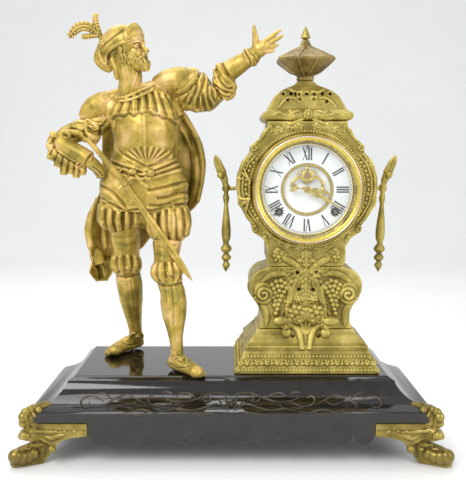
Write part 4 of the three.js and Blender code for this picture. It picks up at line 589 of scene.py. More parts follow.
COLLAR = [
    [(112, 88), (112, 98), (110, 112), (107, 127)],
    [(117, 98), (125, 97), (137, 92), (150, 86), (157, 83)],
    [(119, 101), (128, 100), (140, 96), (152, 90)],
]
YOKE_PLEATS = [
    [(121, 101), (118, 107), (115, 114)],
    [(128, 98), (125, 105), (123, 111)],
    [(135, 96), (134, 104), (134, 112)],
    [(142, 95), (143, 103), (143, 110)],
    [(149, 93), (151, 102), (152, 111)],
    [(156, 93), (159, 103), (162, 114)],
    [(163, 94), (168, 104), (172, 117)],
    [(169, 97), (175, 107), (180, 121)],
]
YOKE_HEM = [
    (113, 117), (118, 113), (124, 114), (129, 111), (134, 114), (139, 111), (143, 112), (148, 110),
    (153, 113), (158, 113), (163, 116), (168, 116), (173, 120), (180, 123),
]
BREASTPLATE_EDGE = [
    (116, 121), (114, 134), (117, 147), (126, 156), (138, 162), (148, 166), (160, 162), (172, 153),
    (178, 138), (176, 122),
]
BREAST_RIDGE = [(144.5, 114), (145, 130), (145, 147)]
FAN_FOOT = (147, 165)
FAN_TIPS = [(127, 152), (132, 149), (138, 147), (145, 147), (151, 147), (157, 148), (163, 150), (169, 152)]
SASH = [
    [(113, 160), (124, 164), (137, 169), (150, 170), (161, 166), (172, 161), (181, 157)],
    [(113, 166), (124, 170), (136, 174), (150, 174), (163, 170), (176, 165), (184, 162)],
    [(115, 172), (126, 176), (138, 179), (151, 178), (166, 174), (184, 169)],
    [(121, 164), (131, 172), (140, 181), (146, 186)],
]
SKIRT_FOLDS = [
    [(149, 190), (160, 188), (172, 185), (187, 181)],
    [(158, 198), (168, 196.5), (178, 193), (189, 192)],
    [(150, 205), (158, 206), (170, 203.5)],
    [(104, 186), (113, 192), (122, 202), (126, 208)],
    [(103, 198), (110, 203), (120, 208)],
]
SKIRT_HEM = [
    (102, 203), (109, 204), (118, 208), (128, 211), (138, 210), (148, 211), (158, 209), (170, 207),
    (180, 205), (188, 203),
]
HANGER = [(120, 176), (124, 181), (129, 184), (132, 180)]


SLEEVE_RIGHT = [
    [(201, 69), (199, 88), (202, 109)],
    [(206, 70), (206, 88), (208, 112)],
    [(194, 85), (194, 98), (197, 110)],
    [(186, 92), (188, 100), (191, 108)],
    [(179, 95), (183, 102), (187, 108)],
    [(211, 71), (214, 86), (214, 100)],
    [(204, 92), (210, 100), (212, 108)],
]
CUFF_RIGHT = [
    [(214, 70), (219, 80), (227, 87), (234, 93), (229, 101), (219, 99)],
    [(213, 78), (219, 88), (224, 94)],
    [(218, 66), (224, 76), (232, 82), (236, 88)],
    [(213, 86), (215, 94), (213, 102)],
]
WRIST_RUFFLE = [[(245, 49), (250, 55), (256, 60), (255, 66)], [(247, 52), (252, 60), (252, 65)]]

HOSE_PLEATS = {
    "left": [[(102, 209), (101, 219), (104, 229)], [(110, 210), (109, 221), (112, 231)],
             [(119, 210), (118, 221), (120, 232)], [(127, 211), (127, 221), (127, 231)],
             [(135, 212), (136, 221), (134, 229)]],
    "right": [[(155, 212), (154, 224), (157, 234)], [(163, 211), (163, 224), (165, 238)],
              [(171, 210), (172, 224), (173, 240)], [(179, 209), (181, 222), (181, 238)],
              [(186, 208), (189, 220), (187, 234)]],
}
GARTER_LOBES = {
    "left": [[(114, 258), (113, 265), (117, 271)], [(120, 257), (120, 266), (123, 273)],
             [(128, 257), (129, 264), (129, 268)], [(135, 257), (136, 265), (134, 272)],
             [(139, 259), (140, 266), (138, 270)]],
    "right": [[(154, 266), (153, 274), (157, 280)], [(161, 264), (160, 273), (163, 282)],
              [(169, 263), (170, 270), (170, 273)], [(176, 264), (178, 273), (176, 282)],
              [(181, 266), (182, 274), (180, 280)]],
}
BREECHES_FOLDS = {
    "left": [[(114, 236), (122, 238), (133, 236)], [(116, 243), (125, 246), (135, 243)]],
    "right": [[(156, 246), (166, 248), (177, 245)], [(157, 254), (167, 257), (177, 253)]],
}
SEAMS = {"left": [(131, 281), (133, 296), (134.5, 312)], "right": [(172, 287), (173.5, 305), (173, 325)]}
CAPE_FOLDS = [
    [(184, 115), (194, 133), (201, 152), (203, 175), (199, 200)],
    [(181, 128), (189, 142), (195, 160), (196, 180), (191, 205)],
    [(97, 200), (91, 215), (88, 230), (91, 245)],
    [(101, 208), (97, 225), (97, 240), (102, 256)],
    [(104, 215), (104, 230), (106, 246)],
]
KNOT_FOLDS = [
    [(91, 264), (96, 270), (97, 279)], [(99, 262), (103, 268), (105, 276)], [(107, 262), (111, 268)],
]


def cast(name, cad, slot, voxel, melt, dress=None, shape=None, brushes=(), instead=None, fine=1, finish=None):
    """One casting for a CAD node: melted, bent by shape, worked with brushes, dressed and melted together.

    melt and fine are the passes of smoothing before and after. instead holds lumps that take the place of the
    node's own shape.
    """
    base = melted(merged(instead) if instead else solid(cad), voxel, melt)
    if shape:
        base = shape(base[0]), base[1]
    if brushes:
        base = sculpted(base, brushes)
    lumps = dress(Skin(base)) if dress else []
    whole = melted(merged([base, *lumps]), voxel, fine) if lumps or brushes else base
    return piece(name, whole, slot, cad, finish=finish)


SHOULDERS = [(101, 108, 24), (112, 101, 24), (133, 98, 26), (158, 90, 24), (171, 87, 22)]
BUST_SIDE = [(152, 99, 25), (166, 101, 23), (175, 107, 22), (180, 115, 24)]
BUCKLE = [
    [(119, 172), (123, 169), (128, 171), (129, 176), (125, 179), (120, 177), (119, 172)],
    [(136, 168), (143, 171), (147, 176), (141, 179), (135, 175)],
]


def torso_brushes():
    fan = [[FAN_FOOT, ((FAN_FOOT[0] + x) / 2, (FAN_FOOT[1] + y) / 2), (x, y)] for x, y in FAN_TIPS]
    under_hem = [[(x, y + 2.5) for x, y in YOKE_HEM]]
    return [
        ([[(145, 126), (145, 150)]], 17, 4.5),
        ([[(103, 100), (108, 108)]], 9, 4),
        (COLLAR, 2.2, 2.2),
        (YOKE_PLEATS, 2.2, 1.6),
        (between(YOKE_PLEATS), 1.2, -2.6),
        ([YOKE_HEM], 1.8, 1.4),
        (under_hem, 1.2, -1.8),
        ([BREASTPLATE_EDGE], 1.3, -1.5),
        ([BREAST_RIDGE], 1.6, 1.1),
        (fan, 1.2, 1.2),
        (between(fan), 1.0, -1.2),
        (SASH, 2.0, 1.8),
        (between(SASH[:3]), 1.1, -2.0),
        ([[(104, 178), (108, 192)]], 8, 3),
        (SKIRT_FOLDS, 1.4, -2.4),
        ([[(x, y + 4) for x, y in line] for line in SKIRT_FOLDS], 2.6, 1.5),
        ([SKIRT_HEM], 1.6, -1.8),
        ([[(x, y - 3) for x, y in SKIRT_HEM]], 2.0, 1.4),
    ]


def dress_torso(skin):
    """Collar, hanger, buckle, belt knots and the mass of the shoulders."""
    shoulder = rod([through(x, y, z) for x, y, z in SHOULDERS], (9, 15, 17, 15, 11), (0, 0, 1), 0.9, 16)
    return [
        *skin.strokes(COLLAR[1:], 1.8, 0.9, np.ones(2)),
        *skin.strokes([HANGER], 1.3, 1.0, np.ones(2)),
        *skin.strokes(BUCKLE, 1.6, 1.0, np.ones(2)),
        egg(skin.seen(132, 172), (6, 4, 4)),
        egg(skin.seen(151, 173), (5, 4, 5)),
        shoulder,
        rod([through(x, y, z) for x, y, z in BUST_SIDE], (11, 12, 11, 7), (0, 0, 1), 0.9, 16),
    ]


def shape_torso(points):
    """Pleats all round the yoke and the skirt, deepest at the back and sides."""
    low, high = box("figure_torso")
    x, y = middle("figure_torso")[:2]
    tall = high[2] - low[2]
    behind = np.clip((points[:, 1:2] - y + 6) / 12, 0, 1)
    yoke = gathered(points, (x, y, high[2] - 0.3 * tall), (x, y, high[2] - 0.02 * tall), tall, 13, 1.6)
    points = points + (yoke - points) * behind
    skirt = gathered(points, (x, y, low[2] - 4), (x, y, low[2] + 0.36 * tall), tall, 11, 2.2)
    return points + (skirt - points) * behind


def hose_brushes():
    lines = [HOSE_PLEATS["left"], HOSE_PLEATS["right"]]
    return [brush for own in lines for brush in ((own, 2.6, 2.4), (between(own), 1.4, -3.2))]


def shape_hose(points):
    """Pleats round each leg's half of the trunk hose."""
    low, high = box("figure_hose")
    split = middle("figure_hose")[0]
    for side, share in zip(BOTH, (0.26, 0.76)):
        x = low[0] + share * (high[0] - low[0])
        axis = [(x, middle("figure_hose")[1], z) for z in (low[2], high[2])]
        moved = gathered(points, *axis, 60, 12, 1.4)
        own = (points[:, 0:1] - split) * side > 0
        points = np.where(own, moved, points)
    return points


GARTER_BAND = {
    "left": [[(113, 275), (126, 278), (139, 274)]],
    "right": [[(154, 283), (166, 286), (181, 283)]],
}
SHOE_LINES = {
    "left": [[(112, 355), (124, 355), (137, 349), (143, 347)], [(122, 341), (129, 345), (137, 344)]],
    "right": [[(170, 376), (182, 378), (196, 379), (204, 377)], [(170, 364), (178, 368), (187, 366)]],
}
SHOE_TOE = {"left": [[(112, 350), (117, 349)]], "right": [[(195, 371), (200, 373)]]}
SHOE_BOWS = {
    "left": [[(129, 338), (133, 333), (137, 335)], [(137, 335), (142, 334), (143, 339)]],
    "right": [[(172, 361), (176, 357), (181, 359)], [(181, 359), (186, 359), (187, 364)]],
}
TOES = {"left": (116, 350), "right": (196, 371)}
LEG_FLOWERS = {"left": [(128, 268), (137, 336)], "right": [(170, 274), (181, 360)]}


def leg_brushes(side):
    """Garter, breeches, stocking's seam and shoe."""
    return [
        (GARTER_LOBES[side], 2.2, 2.6),
        (between(GARTER_LOBES[side]), 1.1, -2.2),
        (GARTER_BAND[side], 1.2, -1.8),
        (BREECHES_FOLDS[side], 1.6, -0.7),
        ([SEAMS[side]], 1.0, -0.8),
        (SHOE_LINES[side], 0.9, -1.1),
        (SHOE_TOE[side], 4.0, 1.5),
    ]


def dress_leg(side):
    """Flowers at the knee and the shoe, the shoe's bow and its toe."""
    def dress(skin):
        lumps = [lump for x, y in LEG_FLOWERS[side] for lump in rosette(skin.seen(x, y), 4.2)]
        return [*lumps, *skin.strokes(SHOE_BOWS[side], 2.0, 0.9), egg(skin.seen(*TOES[side], -3), (9, 8, 7))]
    return dress


# A petal's half lengths outwards, across and in thickness, as shares of its flower's radius.
PETAL = np.array((0.45, 0.32, 0.25))


def rosette(centre, radius, petals=6, facing=TOWARDS_CAMERA):
    """Small flower: a ball in a ring of petals, looking along facing."""
    facing = unit(facing)
    side = unit(np.cross(facing, (0.2, 0.1, 1)))
    up = np.cross(side, facing)
    lumps = [egg(centre + facing * radius * 0.25, radius * 0.42)]
    for i in range(petals):
        turn = 2 * math.pi * i / petals
        out = math.cos(turn) * side + math.sin(turn) * up
        axes = (out, np.cross(facing, out), facing)
        lumps.append(egg(centre + out * radius * 0.62, radius * PETAL, axes, 8, 4))
    return lumps


def reach(stations, flat=1.0, sides=20):
    """Limb through stations of picture point, depth and radius."""
    line = [through(x, y, depth) for x, y, depth, _ in stations]
    return rod(line, [station[3] for station in stations], flat=flat, sides=sides)


RAISED_SHOULDER = [
    (155, 86, 22, 10), (166, 82, 21, 15), (178, 80.5, 19, 17), (189, 77.5, 18, 14.5), (198, 71, 17, 6),
]
PUFF_UPPER = [(180, 92, 20, 16), (192, 92, 18, 24), (204, 91, 17, 26), (213, 85, 16, 21)]
PUFF_LOWER = [(219, 68, 15, 9), (224, 80, 13, 14), (225, 91, 11, 13.5), (222, 97, 12, 8)]
PUFF_LOBES = [
    [(186, 103, 17, 11), (191, 107, 17, 7)],
    [(200, 104, 16, 15), (203, 109, 16, 10)],
    [(229, 93, 10, 9), (230, 97, 10, 6)],
]
FOREARM = [(218, 74, 15, 13), (229, 71, 13, 13), (240, 64, 10, 11.5), (250, 57, 7, 9.8)]
WRIST = [(245.5, 59, 8, 11), (250.5, 57, 7, 12), (254, 53, 6, 10.5)]
PALM = [(253, 54, 6, 8), (259, 50, 4, 9.5), (266, 45.5, 2, 8.5), (270, 43.5, 1, 5)]
ARMPIT = [(169, 94, 24, 8), (176, 98, 24, 9), (184, 101, 22, 9)]
FINGERS = [
    [(256, 50, 3, 5), (255.5, 39, 2, 4), (254.5, 31, 1, 3), (253.8, 23.5, 0, 1.2)],
    [(265, 43, 1, 3.6), (271, 37, 0, 3), (277, 32.5, -1, 2.6), (282, 29, -2, 1.2)],
    [(267, 45, 0, 3.4), (273, 41, -1, 3), (279, 38, -2, 2.5), (284, 34.5, -3, 1.2)],
    [(267, 47, -1, 3.4), (273, 46.5, -2, 2.9), (279, 44.5, -3, 1.6)],
    [(263, 50, -1, 4), (270, 51, -2, 3), (275, 50, -3, 1.6)],
]


PAULDRON_EDGE = [(202, 68), (198, 78), (192, 86), (184, 93), (173, 97), (160, 94)]
PAULDRON_RIM = [(199, 68), (195, 77), (189, 84), (182, 90), (172, 93.5), (161, 91)]
SLEEVE_GROOVES = [
    [(205, 72), (203, 84), (199, 96), (197, 108)],
    [(196, 84), (195, 92), (189, 104)],
    [(211, 73), (209, 84), (208, 96), (211, 106)],
    [(187, 94), (184, 102)],
    [(202, 96), (204, 104), (206, 112)],
]
CUFF_GROOVES = [
    [(216, 70), (220, 81), (228, 88), (232, 88)],
    [(211, 84), (216, 90), (221, 96), (229, 98)],
    [(216, 86), (222, 91), (228, 93)],
    [(213, 71), (212, 82), (212, 92), (214, 100)],
    [(222, 63), (227, 73), (234, 81)],
]
WRIST_GROOVES = [[(244, 51), (249, 59), (252, 67)], [(249, 49), (254, 56), (257, 62)]]


def raised_arm_lumps():
    stations = [RAISED_SHOULDER, PUFF_UPPER, PUFF_LOWER, *PUFF_LOBES, ARMPIT, FOREARM, WRIST, PALM, *FINGERS]
    return [reach(own) for own in stations]


def raised_arm_brushes():
    return [
        ([PAULDRON_EDGE], 1.4, -3.2),
        ([PAULDRON_RIM], 1.3, 1.2),
        (SLEEVE_RIGHT, 2.6, 1.2),
        (SLEEVE_GROOVES, 1.7, -3.2),
        (CUFF_RIGHT, 1.8, 1.8),
        (CUFF_GROOVES, 1.2, -3.4),
        (WRIST_RUFFLE, 1.3, 1.2),
        (WRIST_GROOVES, 0.9, -1.5),
    ]


BENT_SHOULDER = [
    (113, 98, 22, 11), (105, 103.5, 19, 16), (95, 108.5, 17, 16), (86, 114, 15, 11), (80, 117.5, 14, 4),
]
BENT_SLEEVE = [
    (105, 117, 22, 14), (93, 127, 19, 15), (80, 131, 16, 14), (66, 136, 13, 12), (58, 141, 12, 8),
]
BARREL = [
    (57, 142, 10, 8), (61, 143.5, 9, 10.6), (72, 149.5, 6, 10.6), (82, 155, 3, 10.6), (89, 159.5, 1, 10.8),
]
HIP_HAND = [(88, 160, 2, 8), (94, 165, 2, 8), (99, 171, 1, 7.5), (101, 178, 0, 5)]
RUFFLE_ROOT = [(54, 137, 12, 7), (54, 147, 10, 9), (63, 156, 8, 10), (75, 163, 6, 9), (82, 167, 5, 6)]
RUFFLE_LOBES = [
    [(56, 134), (51, 137)], [(53, 143), (48.5, 149)], [(54, 150), (50, 160)], [(60, 155), (57, 167)],
    [(65, 159), (63.5, 175)], [(72, 162), (70, 174)], [(77, 164), (76, 178)], [(82, 166), (82, 175)],
]
CURLS = [
    [(72, 125), (79, 122), (86, 123.5), (83, 128.5), (77, 128)],
    [(88, 122.5), (94, 124), (97, 128), (92, 131)],
    [(68, 130), (74, 132), (80, 133), (83, 137)],
    [(59, 135), (64, 131.5), (69, 133), (69, 138)],
    [(86, 132), (91, 136), (97, 138), (99, 134)],
]
SLEEVE_MASS = [(78, 133, 12, 9), (87, 135, 11, 10), (94, 138, 11, 9), (99, 141, 12, 6)]
CURL_GAPS = [
    [(71, 128), (78, 130.5), (86, 129.5)],
    [(86, 125), (89, 129), (95, 133)],
    [(64, 135), (72, 137), (80, 140)],
    [(83, 133), (87, 138), (94, 143)],
    [(100, 128), (101, 136), (99, 142)],
]
PAULDRON_LEFT = [(77, 119), (86, 120), (95, 123), (101, 123.5), (108, 116), (112, 105), (112, 91)]


FIST_GAPS = [[(93, 167), (99, 171), (103, 175)], [(91, 171), (97, 175), (100, 179)]]
BARREL_RIMS = [[(92.5, 154), (90, 160), (84, 167)]]


def bent_arm_lumps():
    lobes = []
    for root, tip in RUFFLE_LOBES:
        lobes.append(rod([through(*root, 7), through(*tip, 5)], (6, 6.4, 4.8), flat=0.6, sides=12))
    stations = [BENT_SHOULDER, BENT_SLEEVE, SLEEVE_MASS, BARREL, HIP_HAND, RUFFLE_ROOT]
    return [reach(own) for own in stations] + lobes


def bent_arm_brushes():
    shifted = [(x + 1, y + 2.5) for x, y in PAULDRON_LEFT]
    return [
        (between(RUFFLE_LOBES), 1.1, -2.6),
        (CURL_GAPS, 1.4, -3.4),
        ([shifted], 1.5, -3.0),
        ([[(52, 139), (56, 151), (66, 158), (80, 167)]], 1.2, -2.6),
        ([[(63, 131), (78, 141), (96, 152)]], 1.5, -2.6),
        (FIST_GAPS, 1.0, -1.6),
    ]


def dress_bent_arm(skin):
    """Rim of the shoulder guard, curls of the sleeve and rim of the cuff."""
    return [
        *skin.strokes([PAULDRON_LEFT], 1.7, 0.9, np.ones(2)),
        *skin.strokes(CURLS, 3.8, 0.9),
        *skin.strokes(BARREL_RIMS, 1.6, 0.9, np.ones(2)),
    ]


CAPE_WAIST = [[(88, 259), (98, 257), (108, 258)]]
CAPE_CORNER = [(92, 246, 60, 5), (96, 255, 60, 9), (99, 264, 60, 9)]


def cape_brushes():
    return [(CAPE_FOLDS, 3.4, 3.0), (between(CAPE_FOLDS[:2]), 2.2, -2.5), (KNOT_FOLDS, 1.8, 1.8),
            (between(KNOT_FOLDS[:2]), 1.2, -2.0), (CAPE_WAIST, 2.2, -2.5)]


def dress_cape(skin):
    return [reach(CAPE_CORNER, 0.45)]


def shape_cape(points):
    """Long folds down the cloth, the same on both of its faces."""
    low, high = box("figure_cape")
    down = np.clip((high[2] - points[:, 2]) / (high[2] - low[2]), 0, 1)
    fall = points[:, 0] - low[0] + 14 * down
    wave = np.cos(fall * 2 * np.pi / 36) + 0.25 * np.cos(fall * 2 * np.pi / 15 + 1)
    moved = points.copy()
    moved[:, 1] += 4.5 * wave * np.clip(down * 3, 0.1, 1)
    return moved


# Head. The face is a general one, on the usual proportions of a head in its own axes.

HEAD_TALL = 55
FACE_TURN = math.radians(62)
FACE_UP = math.radians(9)
LEVEL = math.cos(FACE_UP)
FORWARD = np.array((math.sin(FACE_TURN) * LEVEL, -math.cos(FACE_TURN) * LEVEL, math.sin(FACE_UP)))
SIDEWAYS = unit(np.cross((0, 0, 1), FORWARD))
UPWARD = np.cross(FORWARD, SIDEWAYS)
HEAD_AXES = (FORWARD, SIDEWAYS, UPWARD)
HEAD_PLACE = (128.5, 50)


def head_lumps(centre):
    """Skull, face, hair and beard. Shares are of the head's height: forward, to its left and up."""
    def at(f, s, u):
        return centre + HEAD_TALL * (f * FORWARD + s * SIDEWAYS + u * UPWARD)

    def blob(f, s, u, df, ds, du):
        return egg(at(f, s, u), np.array((df, ds, du)) * HEAD_TALL, HEAD_AXES, 20, 12)

    def bar(line, radii, flat=1.0, sides=10):
        return rod([at(*p) for p in line], np.array(radii) * HEAD_TALL, FORWARD, flat, sides)

    lumps = [
        blob(-0.04, 0, 0.12, 0.4, 0.315, 0.37),
        blob(0.13, 0, -0.17, 0.235, 0.23, 0.29),
        blob(0.25, 0, -0.37, 0.11, 0.1, 0.1),
        blob(0.29, 0, 0.16, 0.1, 0.22, 0.12),
        bar([(0.37, 0, 0.05), (0.42, 0, -0.05), (0.49, 0, -0.155)], (0.035, 0.04, 0.055), 1.3),
        blob(0.45, 0, -0.17, 0.055, 0.045, 0.042),
        bar([(0.34, 0, -0.33), (0.375, 0, -0.3)], (0.06, 0.05)),
        bar([(0.335, -0.09, -0.285), (0.395, -0.035, -0.262), (0.4, 0, -0.268), (0.395, 0.035, -0.262),
             (0.335, 0.09, -0.285)], (0.008, 0.02, 0.022, 0.02, 0.008)),
        bar([(0.335, -0.075, -0.293), (0.39, 0, -0.303), (0.335, 0.075, -0.293)], (0.008, 0.026, 0.008)),
    ]
    for side in BOTH:
        lumps += [
            blob(0.2, side * 0.15, -0.1, 0.11, 0.066, 0.09),
            blob(-0.12, side * 0.16, -0.16, 0.17, 0.13, 0.17),
            blob(0.4, side * 0.045, -0.18, 0.04, 0.028, 0.027),
            blob(0.29, side * 0.125, 0.0, 0.052, 0.055, 0.052),
            bar([(0.33, side * 0.065, 0.005), (0.35, side * 0.13, 0.03), (0.29, side * 0.195, 0.003)],
                (0.008, 0.015, 0.008)),
            bar([(0.335, side * 0.07, -0.008), (0.34, side * 0.13, -0.032), (0.29, side * 0.19, -0.005)],
                (0.006, 0.012, 0.006)),
            bar([(0.39, side * 0.04, 0.06), (0.37, side * 0.12, 0.095), (0.28, side * 0.21, 0.065)],
                (0.02, 0.03, 0.012)),
            blob(-0.02, side * 0.31, -0.03, 0.06, 0.03, 0.09),
        ]
    return lumps + beard_lumps(bar, blob)


BEARD_LOCKS = 9
BEARD_ROOTS = ((-0.03, 0.285, -0.08), (0.37, 0.07, -0.25))
BEARD_TIPS = ((-0.04, 0.2, -0.38), (0.44, 0.015, -0.58))


def beard_lumps(bar, blob):
    """Full short beard in wavy locks, with a moustache."""
    lumps = [blob(0.22, 0, -0.36, 0.18, 0.19, 0.17), blob(0.35, 0, -0.42, 0.13, 0.12, 0.14),
             blob(0.0, 0, -0.2, 0.24, 0.25, 0.24)]
    for side in BOTH:
        lumps.append(blob(0.09, side * 0.16, -0.24, 0.16, 0.09, 0.14))
        flip = np.array((1, side, 1))
        for i in range(BEARD_LOCKS):
            share = i / (BEARD_LOCKS - 1)
            root = (1 - share) * np.array(BEARD_ROOTS[0]) + share * np.array(BEARD_ROOTS[1])
            tip = (1 - share) * np.array(BEARD_TIPS[0]) + share * np.array(BEARD_TIPS[1])
            sway = 0.022 * math.sin(1.7 * i)
            early = 0.65 * root + 0.35 * tip + (0.035 + sway, 0.025, 0)
            late = 0.3 * root + 0.7 * tip + (0.03 - sway, 0.03, 0)
            line = [flip * p for p in (root, early, late, tip)]
            lumps.append(bar(line, (0.022, 0.038, 0.034, 0.012), 1, 8))
        line = [(0.43, side * 0.01, -0.215), (0.41, side * 0.07, -0.235), (0.34, side * 0.135, -0.28),
                (0.28, side * 0.17, -0.35)]
        lumps.append(bar(line, (0.02, 0.032, 0.026, 0.008), 1, 8))
    return lumps


NECK = [(127, 99), (129, 90), (130.5, 80), (129, 70), (126, 60)]
NECK_RADII = (13, 14, 14.5, 15.5, 15)
NECK_CORDS = [[(137, 72), (134, 82), (131, 90)], [(126, 72), (128, 82), (130, 90)]]


def figure_head():
    """Head and neck, with the two cords of the neck, melted into one."""
    depth = middle("figure_head")[1]
    neck = rod([through(x, y, depth) for x, y in NECK], NECK_RADII, sides=16)
    cords = [rod([through(x, y, depth - 11) for x, y in line], 2.6 * SWELL) for line in NECK_CORDS]
    whole = melted(merged([neck, *cords, *head_lumps(through(*HEAD_PLACE, depth - 1))]), 0.55, 2)
    piece("head", whole, "figure_bronze", "figure_head")


# Cap: a rounded crown with a flaring visor, a neck guard, an ear flap and two plumes.

CROWN = [
    (102, 58, 20, 7), (105, 52, 19, 12), (111, 46.5, 17, 16.5), (118.5, 41, 16, 18.5),
    (127, 37.5, 15, 16.5), (134, 36, 14, 10),
]
NECK_GUARD = [(101, 50, 20, 7), (102, 58, 19, 11), (106, 65, 18, 9), (111, 71, 17, 4)]
EAR_FLAP = [
    (112, 58, 13, 5.5), (114.5, 64, 12, 5), (116.5, 70, 11, 4.6), (117, 76, 12, 4), (117.5, 80, 13, 2),
]
VISOR_ROWS = (
    (0.28, 0.32, 0.2, 0.1), (0.3, 0.35, 0.3, 0.18), (0.27, 0.35, 0.43, 0.28), (0.2, 0.32, 0.54, 0.38),
)
VISOR_SPREAD = math.radians(72)
CAP_FOLDS = [
    [(106, 64), (106, 55), (111, 48.5), (119, 44), (128, 40.5), (136, 38.5)],
    [(99, 50), (101, 59), (108, 68)],
]
CAP_GROOVES = [
    [(108.5, 64), (109, 56.5), (113, 51), (121, 46.5), (129, 43), (137, 41)],
    [(103, 45), (113, 37), (123, 30)],
]
# Plumes: the rib as picture points, and the reach of its barbs in mm.
PLUMES = [
    ([(105, 46), (101, 38), (98, 30), (96, 23), (95.3, 17), (96.5, 13)], 4.6),
    ([(99, 36), (94, 30), (87, 26.5), (80, 27), (74, 31), (69, 38)], 7.5),
    ([(98, 36), (92, 36), (86, 36.5), (81, 37)], 4.2),
]
PLUME_DEPTH = 25


def plume(line, reach):
    """Curled feather: a flat blade with a rib, and slanting barbs that stand out at its edges."""
    path = curve([through(x, y, PLUME_DEPTH) for x, y in line], 6)
    along = unit(np.gradient(path, axis=0))
    lumps = [
        rod(path[::3], reach * np.array((0.45, 0.75, 0.85, 0.75, 0.3)), flat=0.3, sides=16, steps=3),
        rod(path[::3] - (0, 2, 0), (1.6, 1.3, 1.0, 0.6), steps=3),
    ]
    for k in range(3, len(path) - 1, 3):
        size = reach * (0.6 + 0.4 * math.sin(math.pi * k / len(path)))
        for way in BOTH:
            out = unit(np.cross(along[k], (0, way, 0)))
            tip = path[k] + size * (0.85 * out + 0.6 * along[k]) + (0, 0.5, 0)
            mid = path[k] + size * (0.5 * out + 0.15 * along[k]) - (0, 1.6, 0)
            lumps.append(rod([path[k], mid, tip], (1.0, 1.5, 0.7), flat=0.7))
    return lumps


def cap_lumps():
    """Crown, flaring visor, neck guard and ear flap, in the head's axes."""
    centre = through(*HEAD_PLACE, middle("figure_head")[1] - 1)
    rows = []
    for f, s, u, fall in VISOR_ROWS:
        row = []
        for turn in np.linspace(-VISOR_SPREAD, VISOR_SPREAD, 13):
            ahead, left, up = 0.07 + f * math.cos(turn), s * math.sin(turn), u - fall * (1 - math.cos(turn))
            row.append(centre + HEAD_TALL * (ahead * FORWARD + left * SIDEWAYS + up * UPWARD))
        rows.append(row)
    crown = centre + HEAD_TALL * (0.2 * UPWARD - 0.09 * FORWARD)
    skull = egg(crown, np.array((0.42, 0.37, 0.34)) * HEAD_TALL, HEAD_AXES, 24, 14)
    return [skull, sheet(rows, 2.6), *[reach(own) for own in (CROWN, NECK_GUARD, EAR_FLAP)]]


def dress_cap(skin):
    """Folds and knot of the cap, and its plumes."""
    lumps = [*skin.strokes(CAP_FOLDS, 2.8, 0.8), *rosette(skin.seen(103, 44), 5)]
    return lumps + [lump for line, size in PLUMES for lump in plume(line, size)]


def figure():
    """The figure's castings."""
    slot = "figure_bronze"
    cast("torso", "figure_torso", slot, 0.8, 40, dress_torso, shape_torso, torso_brushes())
    cast("trunk_hose", "figure_hose", slot, 0.8, 25, None, shape_hose, hose_brushes())
    for side in ("left", "right"):
        cast(f"leg_{side}", f"figure_leg_{side}", slot, 0.7, 40, dress_leg(side), None, leg_brushes(side))
    brushes = raised_arm_brushes()
    cast("arm_raised", "figure_arm_raised", slot, 0.6, 16, brushes=brushes, instead=raised_arm_lumps())
    brushes = bent_arm_brushes()
    cast("arm_bent", "figure_arm_bent", slot, 0.6, 8, dress_bent_arm, None, brushes, bent_arm_lumps())
    cast("cape", "figure_cape", slot, 0.8, 60, dress_cape, shape_cape, cape_brushes())
    brushes = [(CAP_GROOVES, 1.2, -2.0)]
    cast("cap_with_plumes", "figure_helmet", slot, 0.55, 12, dress_cap, None, brushes, cap_lumps())
    cast("sword", "figure_sword", slot, 0.6, 2)
    figure_head()


# Clock case. Its ornament is symmetrical: points are (out from the middle, height) and stand on both sides.

CASE_X, CASE_Y = middle("case_pedestal")[:2]
DIAL = middle("chapter_ring")

VOLUTE = {"centre": (52, 190), "small": 1.5, "large": 11.5, "turns": 1.9, "start": 0.4}
GRAPES = [
    (26, 204), (31, 207), (37, 206), (42, 202), (24, 198), (29.5, 200), (35, 200.5), (40, 197), (27, 193),
    (33, 194.5), (38.5, 192), (30, 188), (35.5, 188.5), (40, 186.5), (32, 182.5), (37.5, 182), (34, 177),
    (38.5, 176.5), (35.5, 171.5), (37, 166),
]
GRAPE_RADIUS = 3.3
PEDESTAL_SCROLLS = [
    [(31, 241), (28, 236), (19, 231), (10, 223), (5, 216)],
    [(30, 208), (25, 203), (19.5, 194), (20, 184), (23, 176), (30, 164)],
    [(49, 150), (48, 160), (51, 172), (58, 181)],
    [(22, 213), (32, 216), (44, 213), (55, 205)],
]
PEDESTAL_LEAVES = [
    [(5, 210), (12, 207), (15, 198), (14, 188), (9, 181)],
    [(40, 243), (33, 240), (24, 234), (15, 227)],
    [(5, 224), (14, 219), (26, 219), (36, 215)],
    [(2, 168), (8, 162), (18, 159), (30, 156)],
    [(24, 166), (20, 158), (12, 150)],
]
CENTRE_LEAVES = [[(0, 246), (0, 238), (0, 226), (0, 212)], [(0, 210), (0, 200), (0, 190), (0, 179)]]
PEDESTAL_FLOWERS = [
    ((12.5, 169), 9.5), ((8.5, 183), 5), ((22, 180), 5), ((34, 237), 7), ((8, 158), 5), ((8, 232), 4),
]
# Small dark hollows, as picture points.
PEDESTAL_HOLLOWS = [(299, 289.5), (313, 290), (297.5, 272.5), (316.5, 272.5), (293, 335.5), (318.5, 335.5)]
DOME_HOLLOWS = [
    (295.6, 93.6), (300.8, 93.4), (300, 98.8), (313.8, 93.6), (314, 98.6), (318.5, 98.9), (288, 99.6),
    (326.5, 101.6),
]
PALMETTE_FOOT = (305.5, 335)
PALMETTE_TIPS = [(295, 324), (300, 320), (305.5, 318), (311, 320), (316, 324)]
# The two consoles at the pedestal's foot: their arm, leaf pad and ball as picture points.
CONSOLES = [
    ([(284, 327), (291, 325.5), (297.5, 330), (300.5, 339), (302, 350)], (281, 321), (286, 333)),
    ([(327, 327), (320, 325.5), (313.5, 330), (310.5, 339), (309, 350)], (331, 321.5), (325, 333.5)),
]

